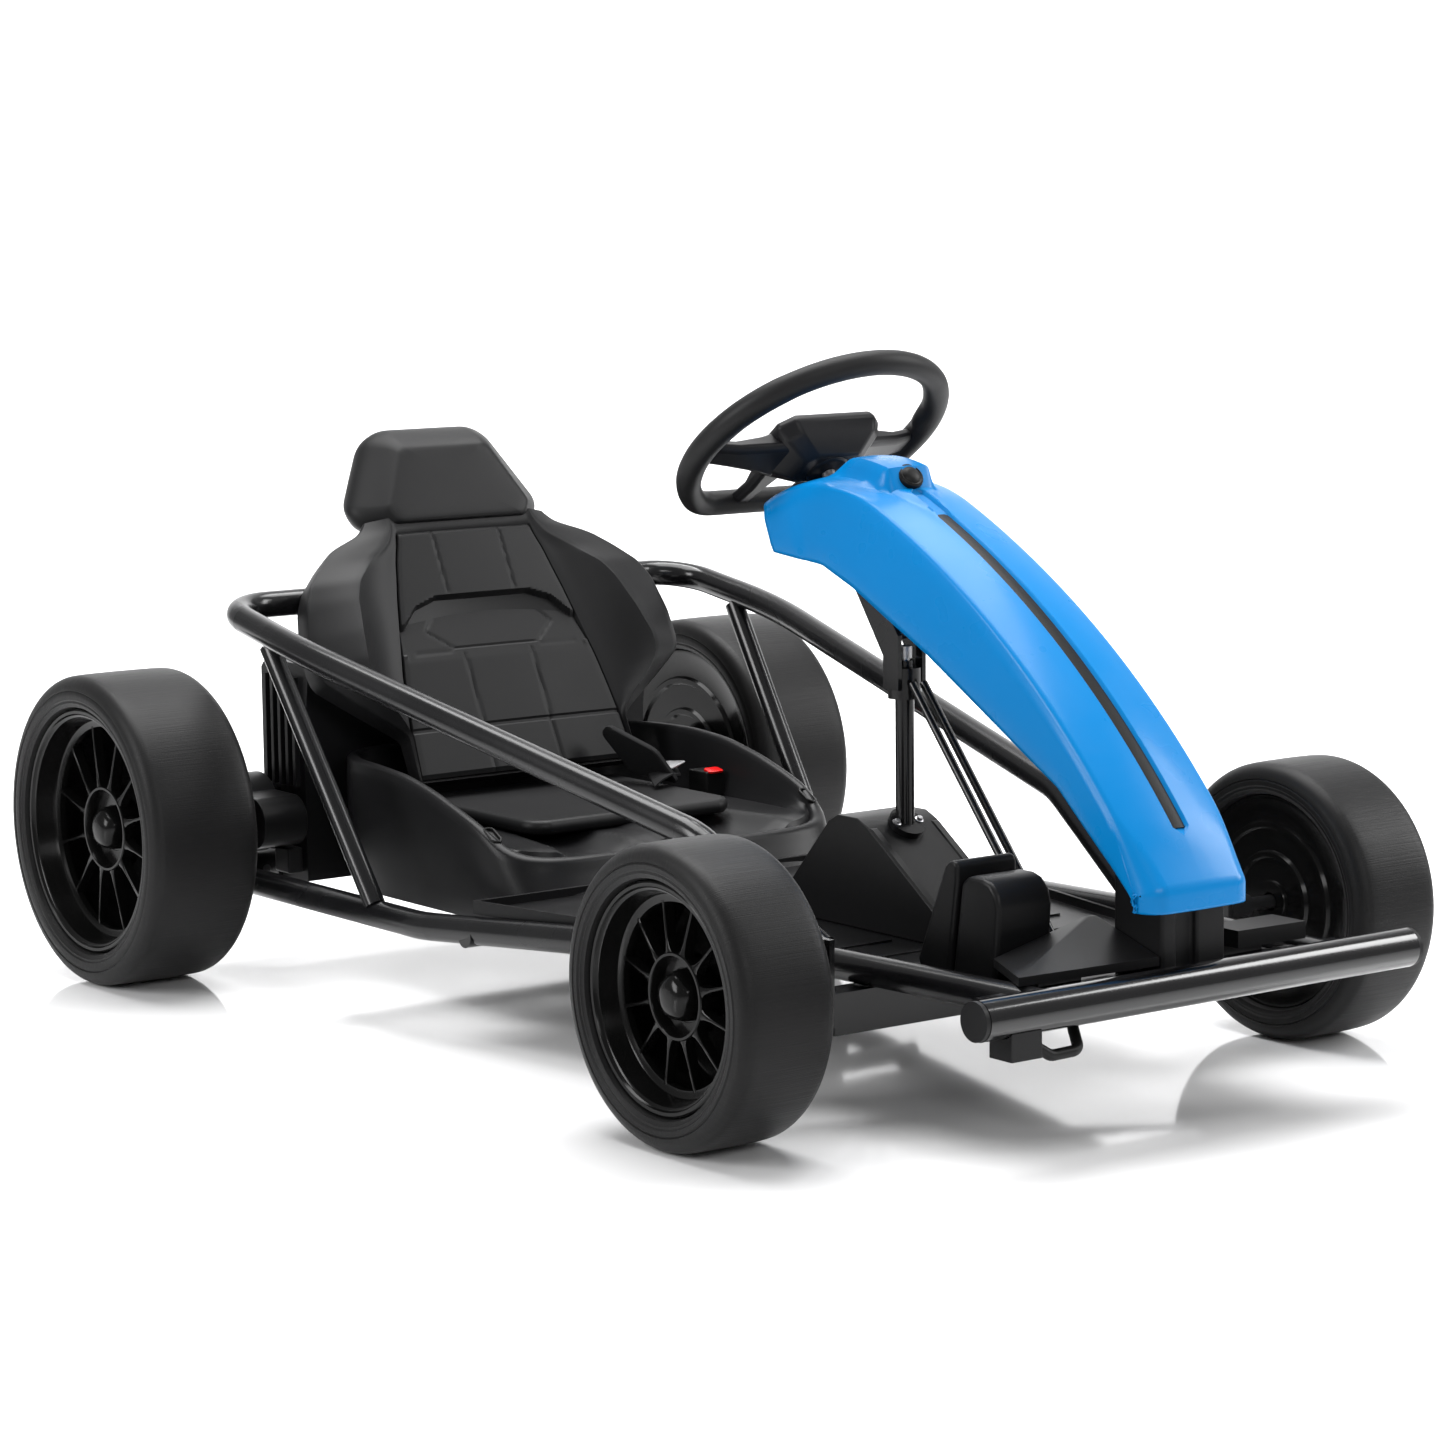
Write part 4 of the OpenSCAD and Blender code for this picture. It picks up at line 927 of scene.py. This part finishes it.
# %% Build the tub
steps = 220
loops = []
for z_share, inset in ((0.0, 0.0090), (0.06, 0.0060), (0.2, 0.0045), (0.35, 0.0030), (0.5, 0.0020), (0.65, 0.0013), (0.8, 0.0010), (0.92, 0.0012)):
    loops.append([(tub_loop(2 * pi * k / steps, inset), z_share) for k in range(steps)])
under = [tub_loop(2 * pi * k / steps, 0.0150) for k in range(steps)]
verts = [(p.x, p.y, z) for z in (0.126, 0.084) for p in under]
for loop in loops:
    for p, share in loop:
        top = rim_height(p.y) - 0.0045
        forward = 0.0400 * (1 - share) ** 1.3 * smooth_step(0.165, 0.075, p.y)
        verts.append((p.x, p.y - forward, 0.084 + (top - 0.084) * share))
for inset, drop in ((0.0016, 0.0035), (0.0030, 0.0014), (0.0052, 0.0002), (0.0075, 0.0), (0.0098, 0.0008), (0.0118, 0.0030), (0.0130, 0.0065)):
    for k in range(steps):
        p = tub_loop(2 * pi * k / steps, inset)
        verts.append((p.x, p.y, rim_height(p.y) - drop))
for k_in in range(5):
    share = (k_in + 1) / 5
    for k in range(steps):
        t = 2 * pi * k / steps
        p = tub_loop(t, 0.0134 + 0.0110 * share)
        high = rim_height(p.y) - 0.0065
        low = floor_height(p.x, p.y)
        if high < low:
            high = low
        bend = 1 - (1 - share) ** 2
        verts.append((p.x, p.y, high + (low - high) * (share ** 1.2 * 0.5 + bend * 0.5)))
rings_in = 26
for k_in in range(1, rings_in + 1):
    for k in range(steps):
        p = tub_loop(2 * pi * k / steps, 0.0244)
        q = Vector((0, tub_middle.y)).lerp(p, 1 - k_in / (rings_in + 1))
        verts.append((q.x, q.y, floor_height(q.x, q.y)))
n_loops = len(verts) // steps
faces = []
for i in range(n_loops - 1):
    for k in range(steps):
        a, b = i * steps + k, i * steps + (k + 1) % steps
        faces.append((a, b, b + steps, a + steps))
verts.append((0, tub_middle.y, floor_height(0, tub_middle.y)))
last = (n_loops - 1) * steps
faces += [(last + k, last + (k + 1) % steps, len(verts) - 1) for k in range(steps)]
faces.append(tuple(reversed(range(steps))))
tub = mesh_piece("hip_tub_skin", verts, faces)
soften(tub, 40)
tub.data.materials.append(finishes["body_black"])
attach(tub, "chassis")
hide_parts("hip_tub")
print("tub:", len(tub.data.polygons), "faces")

# %% [markdown]
# The rim has an oval drain slot on each side. Its raised collar catches the light and
# the bottom of the slot stays dark.

# %% Slots in the tub's rim
def oval_ring(name, centre, along, across, normal, long_half, short_half, lip):
    """A raised oval collar with a sunken floor, as one closed piece."""
    verts, faces, n = [], [], 48
    for grow, out in ((lip * 1.6, -0.0020), (lip * 1.5, 0.0004), (lip * 0.8, 0.0010), (0.0, 0.0006), (-lip * 0.4, -0.0012), (-lip * 0.4, -0.0016)):
        for k in range(n):
            a = 2 * pi * k / n
            c, s = cos(a), sin(a)
            stretch = max(0.0, long_half - short_half)
            spot = along * ((short_half + grow) * c + (stretch if c > 0 else -stretch)) + across * (short_half + grow) * s
            verts.append(centre + spot + normal * out)
    for i in range(5):
        for k in range(n):
            a, b = i * n + k, i * n + (k + 1) % n
            faces.append((a, b, b + n, a + n))
    faces.append(tuple(range(5 * n, 6 * n)))
    faces.append(tuple(reversed(range(n))))
    return mesh_piece(name, verts, faces, smooth=40)


for side, place in ((1, "left"), (-1, "right")):
    slope = Vector((0, cos(radians(28)), sin(radians(28))))
    out_way = Vector((side * 0.10, -sin(radians(28)), cos(radians(28)))).normalized()
    across = out_way.cross(slope)
    y = 0.118
    middle_at = Vector((side * 0.1765, y, rim_height(y) + 0.0001))
    slot_ring = oval_ring("tub_slot_" + place, middle_at, slope, across, out_way, 0.0095, 0.0040, 0.0012)
    slot_ring.data.materials.append(finishes["cable_black"])
    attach(slot_ring, "chassis")

# %% [markdown]
# ## Steering wheel
# The wheel has a flat bottom and a foamed grip that is a little thicker where the hands
# hold it, with a thumb rest above each spoke. It is a round section carried along the
# wheel's path. The cover of the hub is a faceted pod with two side spokes and two arms
# down to the flat, each a loft between a few sections in the wheel's own plane.

# %% The wheel's plane and its path
wheel_tilt = radians(53)
wheel_middle = Vector((0, -0.122, 0.516))
wheel_axis = Vector((0, cos(wheel_tilt), sin(wheel_tilt)))
wheel_rise = Vector((0, -sin(wheel_tilt), cos(wheel_tilt)))
wheel_radius, flat_drop, corner_radius = 0.114, 0.092, 0.036
corner_down = flat_drop - corner_radius
corner_side = sqrt((wheel_radius - corner_radius) ** 2 - corner_down ** 2)


def in_wheel(u, v, n):
    """A point from sideways, up and outwards in the wheel's plane, in metres."""
    return wheel_middle + Vector((u, 0, 0)) + wheel_rise * v + wheel_axis * n


def wheel_path():
    """(u, v) round the wheel: the large arc, two corners and the flat bottom."""
    end = atan2(corner_down, corner_side)
    points = [(wheel_radius * cos(a), wheel_radius * sin(a)) for a in [-end + (pi + 2 * end) * k / 130 for k in range(131)]]
    for k in range(1, 17):
        a = pi + end + (pi / 2 - end) * k / 16
        points.append((-corner_side + corner_radius * cos(a), -corner_down + corner_radius * sin(a)))
    for k in range(1, 12):
        points.append((-corner_side + 2 * corner_side * k / 12, -flat_drop))
    for k in range(16):
        a = 1.5 * pi + (pi / 2 - end) * k / 16
        points.append((corner_side + corner_radius * cos(a), -corner_down + corner_radius * sin(a)))
    return points


# %% Sweep the grip
route = [Vector(p) for p in wheel_path()]
verts, faces, n_round = [], [], 28
for i, p in enumerate(route):
    ahead, behind = route[(i + 1) % len(route)], route[i - 1]
    along = (ahead - behind).normalized()
    outward = Vector((along.y, -along.x))
    turn = atan2(p.y, abs(p.x)) * 180 / pi
    grip = 0.0106 + 0.0010 * smooth_step(-34, -14, turn) * smooth_step(52, 34, turn)
    thumb = 0.0042 * smooth_step(4, 12, turn) * smooth_step(24, 15, turn)
    for k in range(n_round):
        a = 2 * pi * k / n_round
        inner = max(0.0, -cos(a)) ** 3 * thumb
        q = p + outward * ((grip if cos(a) < 0 else min(grip, 0.0109)) + inner) * cos(a)
        verts.append(in_wheel(q.x, q.y, min(grip, 0.0110) * 1.02 * sin(a)))
for i in range(len(route)):
    for k in range(n_round):
        a, b = i * n_round + k, i * n_round + (k + 1) % n_round
        c, d = (i + 1) % len(route) * n_round + (k + 1) % n_round, (i + 1) % len(route) * n_round + k
        faces.append((a, d, c, b))
grip_ring = mesh_piece("steering_grip", verts, faces)
soften(grip_ring, 60)
grip_ring.data.materials.append(finishes["wheel_grip"])
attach(grip_ring, "steering_wheel")
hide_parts("steering_wheel_rim")


# %% Loft the hub cover
def loft(name, sections, smooth=25):
    """A closed piece through sections that have the same number of points."""
    n = len(sections[0])
    verts = [v for section in sections for v in section]
    faces = []
    for i in range(len(sections) - 1):
        for k in range(n):
            a, b = i * n + k, i * n + (k + 1) % n
            faces.append((a, b, b + n, a + n))
    faces.append(tuple(reversed(range(n))))
    faces.append(tuple(range((len(sections) - 1) * n, len(sections) * n)))
    return mesh_piece(name, verts, faces, smooth=smooth)


def pod_section(half, low, high, cut, n):
    """An eight-sided section of the pod at height n over the wheel's plane."""
    points = [(half, low + cut), (half, high - cut), (half - cut, high), (-half + cut, high),
              (-half, high - cut), (-half, low + cut), (-half + cut, low), (half - cut, low)]
    return [in_wheel(u, v, n) for u, v in points]


pod = loft("pod", [
    pod_section(0.030, -0.018, 0.022, 0.008, -0.031), pod_section(0.048, -0.030, 0.034, 0.010, -0.015),
    pod_section(0.054, -0.034, 0.038, 0.012, -0.003), pod_section(0.052, -0.032, 0.036, 0.012, 0.003),
    pod_section(0.042, -0.024, 0.028, 0.010, 0.0070),
])
hub_parts = [pod]
for side in (-1, 1):
    spoke = []
    for u, low, high, back, front in ((0.040, -0.028, 0.022, -0.020, 0.001), (0.062, -0.024, 0.014, -0.015, 0.000),
                                      (0.084, -0.022, 0.008, -0.011, 0.001), (0.1045, -0.022, 0.006, -0.0065, 0.0045)):
        ring = [(low, back + 0.004), (low + 0.005, back), (high - 0.005, back), (high, back + 0.004), (high - 0.003, front), (low + 0.003, front)]
        spoke.append([in_wheel(side * u, v, n) for v, n in (ring if side > 0 else ring[::-1])])
    hub_parts.append(loft("spoke", spoke))
    arm = []
    for v, inner, outer, back, front in ((-0.088, 0.022, 0.037, -0.0060, 0.0040), (-0.060, 0.022, 0.038, -0.0100, 0.000),
                                         (-0.026, 0.020, 0.046, -0.0150, 0.000)):
        ring = [(inner, back), (outer - 0.003, back), (outer, back + 0.004), (outer, front), (inner, front)]
        arm.append([in_wheel(side * u, v, n) for u, n in (ring if side > 0 else ring[::-1])])
    hub_parts.append(loft("arm", arm))
boss_rings = [[in_wheel(r * cos(2 * pi * k / 40), r * sin(2 * pi * k / 40), n) for k in range(40)]
              for r, n in ((0.016, -0.0335), (0.0195, -0.0320), (0.0205, -0.0120))]
hub_parts.append(loft("boss", boss_rings, 35))
hub = joined("steering_hub_cover", hub_parts, 25)
recalc = bmesh.new()
recalc.from_mesh(hub.data)
bmesh.ops.recalc_face_normals(recalc, faces=recalc.faces)
recalc.to_mesh(hub.data)
recalc.free()
edge = hub.modifiers.new("round", "BEVEL")
edge.width, edge.segments, edge.limit_method, edge.angle_limit = 0.0022, 3, "ANGLE", radians(24)
hub.data.materials.append(finishes["wheel_centre"])
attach(hub, "steering_wheel")
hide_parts("steering_wheel_hub")
print("steering wheel:", len(grip_ring.data.polygons) + len(hub.data.polygons), "faces")

# %% [markdown]
# ## Soft edges on the moulded and welded pieces
# Moulded housings, the pedal, the foot ramps, the battery box and the small plates have
# flat faces with rounded edges, because a sharp edge can't be moulded or painted well.
# A bevel that only takes corners sharper than a set angle gives that edge a highlight,
# and leaves tubes and round faces as they are. The faces are first merged into large
# flats, so that the bevel runs along real edges only.

# %% Bevel the nodes with flat faces
def round_edges(node, width, segments=3, angle=32, tidy=4):
    """Rounded edges on a CAD node, by modifiers only."""
    weld = node.modifiers.new("weld", "WELD")
    weld.merge_threshold = 0.00002
    merge = node.modifiers.new("merge", "DECIMATE")
    merge.decimate_type = "DISSOLVE"
    merge.angle_limit = radians(tidy)
    bevel = node.modifiers.new("round", "BEVEL")
    bevel.width, bevel.segments = width, 5 if width > 0.01 else segments
    bevel.limit_method, bevel.angle_limit = "ANGLE", radians(angle)
    bevel.use_clamp_overlap = True
    bevel.harden_normals = False
    for face in node.data.polygons:
        face.use_smooth = True
    shade = node.modifiers.new("shade", "WEIGHTED_NORMAL")
    shade.keep_sharp = False
    shade.weight = 90


edge_widths = {
    "pedal_housing": 0.0045, "accelerator_pedal": 0.0035, "nose_block": 0.0040, "toe_ramps": 0.0030,
    "steering_tunnel": 0.0040, "battery_box": 0.0040, "battery_latch": 0.0020, "drive_gearboxes": 0.0040,
    "bumper_plate": 0.0020, "plug_housing": 0.0025, "column_bracket": 0.0015,
    "lap_belt": 0.0010, "belt_buckle": 0.0015, "floor_tray": 0.0020, "seat_cushion": 0.0060,
}
rounded_nodes = [name for name in edge_widths if name in nodes]
for name in rounded_nodes:
    round_edges(nodes[name], edge_widths[name])
print("rounded:", rounded_nodes)

# %% [markdown]
# ## Headrest
# The headrest is a padded block on top of the back. Its front face is narrower than the
# block behind it, so its sides and its top fall away in wide soft slopes. It is a loft
# between rounded outlines in the plane of the back, from the front face to the rear.

# %% Loft the headrest
def rounded_outline(corners, radius, n=7):
    """Points of a polygon with each corner replaced by a short arc-like curve."""
    points = []
    for i, corner in enumerate(corners):
        here = Vector(corner)
        before, after = Vector(corners[i - 1]), Vector(corners[(i + 1) % len(corners)])
        reach = min(radius, (before - here).length * 0.45, (after - here).length * 0.45)
        start = here + (before - here).normalized() * reach
        end = here + (after - here).normalized() * reach
        for k in range(n):
            t = k / (n - 1)
            points.append(start * (1 - t) ** 2 + here * 2 * t * (1 - t) + end * t ** 2)
    return points


# Half outlines in mm from the lower middle to the top: out, corner radius, points
headrest_levels = [
    (-61, 10, [(70, 262), (80, 286), (60, 322), (46, 328)]), (-52, 12, [(86, 256), (96, 282), (67, 334), (50, 342)]),
    (-34, 14, [(98, 247), (108, 268), (70, 340), (51, 349.5)]), (-22, 14, [(98, 243), (109, 264), (69, 337), (50, 348)]),
    (-12, 9, [(90, 241), (99, 259), (63, 331), (49, 341)]), (-1, 7, [(76, 241), (86, 256), (56, 322), (48, 328)]),
    (4, 6, [(72, 242), (81, 256), (52, 315), (46, 319)]), (6, 6, [(70, 246), (77, 257), (49, 311), (43, 314)]),
]
sections = []
for out, radius, half in headrest_levels:
    corners = [(x, s) for x, s in half] + [(-x, s) for x, s in reversed(half)]
    sections.append([on_seat(p.x / 1000, p.y / 1000, out / 1000) for p in rounded_outline(corners, radius)])
pad = loft("headrest_pad", sections, 50)
pad.modifiers.new("soft", "SUBSURF").render_levels = 2
pad.modifiers["soft"].levels = 2
pad.data.materials.append(finishes["seat_panel"])
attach(pad, "chassis")
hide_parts("headrest")

# %% [markdown]
# ## Belt, bolts and bands
# The last small pieces are what one sees from a step away: the strap of the lap belt
# with its grey tongue, the red push button of the buckle, the bolts that hold the
# steering post's flange, and the raised bands on the tunnel's slope.

# %% Helper for bolts
def bolt(name, centre, normal, radius, height, finish, body="chassis"):
    """A domed hexagon bolt on a thin washer, standing on a face."""
    normal = normal.normalized()
    side_way = normal.orthogonal().normalized()
    other = normal.cross(side_way)

    def ring(r, h, n):
        return [centre + normal * h + side_way * r * cos(2 * pi * k / n) + other * r * sin(2 * pi * k / n) for k in range(n)]

    washer = loft("washer", [ring(radius * 1.45, -0.0006, 24), ring(radius * 1.45, height * 0.18, 24), ring(radius * 1.3, height * 0.24, 24)], 40)
    head = loft("head", [ring(radius, 0.0, 6), ring(radius, height * 0.85, 6), ring(radius * 0.82, height, 6)], 30)
    piece = joined(name, [washer, head], 30)
    piece.data.materials.append(finishes[finish])
    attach(piece, body)
    return piece


# %% Belt strap with tongue and button
strap_verts, strap_faces = [], []
strap_path = [(0.150, 0.290, 0.168), (0.138, 0.272, 0.1735), (0.118, 0.258, 0.1775), (0.100, 0.250, 0.1745), (0.090, 0.248, 0.1695)]
for i, place in enumerate(strap_path):
    p = Vector(place)
    across = Vector((0.45, 0.85, 0.12)).normalized()
    for w in (-1, 1):
        for lift in (0.0, 0.0016):
            strap_verts.append(p + across * w * 0.0215 + Vector((0, 0, lift)))
for i in range(len(strap_path) - 1):
    a = i * 4
    strap_faces += [(a, a + 4, a + 5, a + 1), (a + 1, a + 5, a + 7, a + 3), (a + 3, a + 7, a + 6, a + 2), (a + 2, a + 6, a + 4, a)]
strap_faces += [(0, 1, 3, 2), (16, 18, 19, 17)]
strap = mesh_piece("belt_end", strap_verts, strap_faces, smooth=40)
strap.data.materials.append(finishes["belt_web"])
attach(strap, "chassis")

flap_foot, flap_along = Vector((0.112, 0.236, 0.1660)), Vector((-0.26, 0.96, 0.10)).normalized()
flap_rise = Vector((-0.40, 0.16, 0.90)).normalized()
flap_out = flap_along.cross(flap_rise).normalized()
flap_outline = rounded_outline([(0, 0), (0.058, 0), (0.074, 0.040), (0.060, 0.052), (0.010, 0.034)], 0.007)
flap = loft("belt_flap", [[flap_foot + flap_along * (0.035 + (p.x - 0.035) * grow) + flap_rise * (0.024 + (p.y - 0.024) * grow) + flap_out * h
                           for p in flap_outline] for grow, h in ((0.95, 0.0), (1.0, 0.0010), (1.0, 0.0045), (0.95, 0.0056))], 40)
flap.data.materials.append(finishes["belt_web"])
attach(flap, "chassis")
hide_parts("lap_belt")


def small_slab(name, centre, along, up, length, width, height, finish):
    """A small plate with round edges, standing on its centre."""
    along, up = along.normalized(), up.normalized()
    across = up.cross(along)
    ring = [(0.5, 0.35), (0.35, 0.5), (-0.35, 0.5), (-0.5, 0.35), (-0.5, -0.35), (-0.35, -0.5), (0.35, -0.5), (0.5, -0.35)]
    sections = []
    for grow, h in ((0.94, 0.0), (1.0, 0.2), (1.0, 0.8), (0.90, 1.0)):
        sections.append([centre + along * x * length * grow + across * y * width * grow + up * height * h for x, y in ring])
    piece = loft(name, sections, 35)
    piece.data.materials.append(finishes[finish])
    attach(piece, "chassis")
    return piece


small_slab("belt_tongue", Vector((0.120, 0.262, 0.1800)), Vector((-0.9, -0.45, -0.1)), Vector((0.05, 0.1, 1)), 0.034, 0.024, 0.0016, "axle_steel")
small_slab("buckle_button", Vector((0.157, 0.2400, 0.1735)), Vector((1, 0, 0)), Vector((0, -0.2, 1)), 0.017, 0.012, 0.0026, "button_red")

# %% [markdown]
# The steering post stands on the tunnel with a round flange and two plated bolts. The
# tunnel's slope has a raised band along each edge.

# %% Bolts and the tunnel's bands
slope_angle = atan2(0.200 - 0.134, 0.336 - 0.240)
slope_out = Vector((0, -sin(slope_angle), cos(slope_angle)))
flange_at = Vector((0, -0.244, 0.1973))
for side in (-1, 1):
    bolt("flange_bolt_left" if side > 0 else "flange_bolt_right", flange_at + slope_out * 0.0062 + Vector((side * 0.0120, 0, 0)),
         slope_out, 0.0026, 0.0030, "axle_steel")
    band = []
    for y, z in ((-0.2420, 0.1986), (-0.2440, 0.1972), (-0.3320, 0.1367), (-0.3350, 0.1347)):
        lift = 0.0014 if -0.333 < y < -0.243 else 0.0003
        ring = [(0.0290, 0.0), (0.0300, lift), (0.0360, lift), (0.0370, 0.0), (0.0370, -0.001), (0.0290, -0.001)]
        band.append([Vector((side * x, y, z)) + slope_out * h for x, h in (ring if side < 0 else ring[::-1])])
    strip = loft("tunnel_band_left" if side > 0 else "tunnel_band_right", band, 30)
    strip.data.materials.append(finishes["body_black"])
    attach(strip, "chassis")
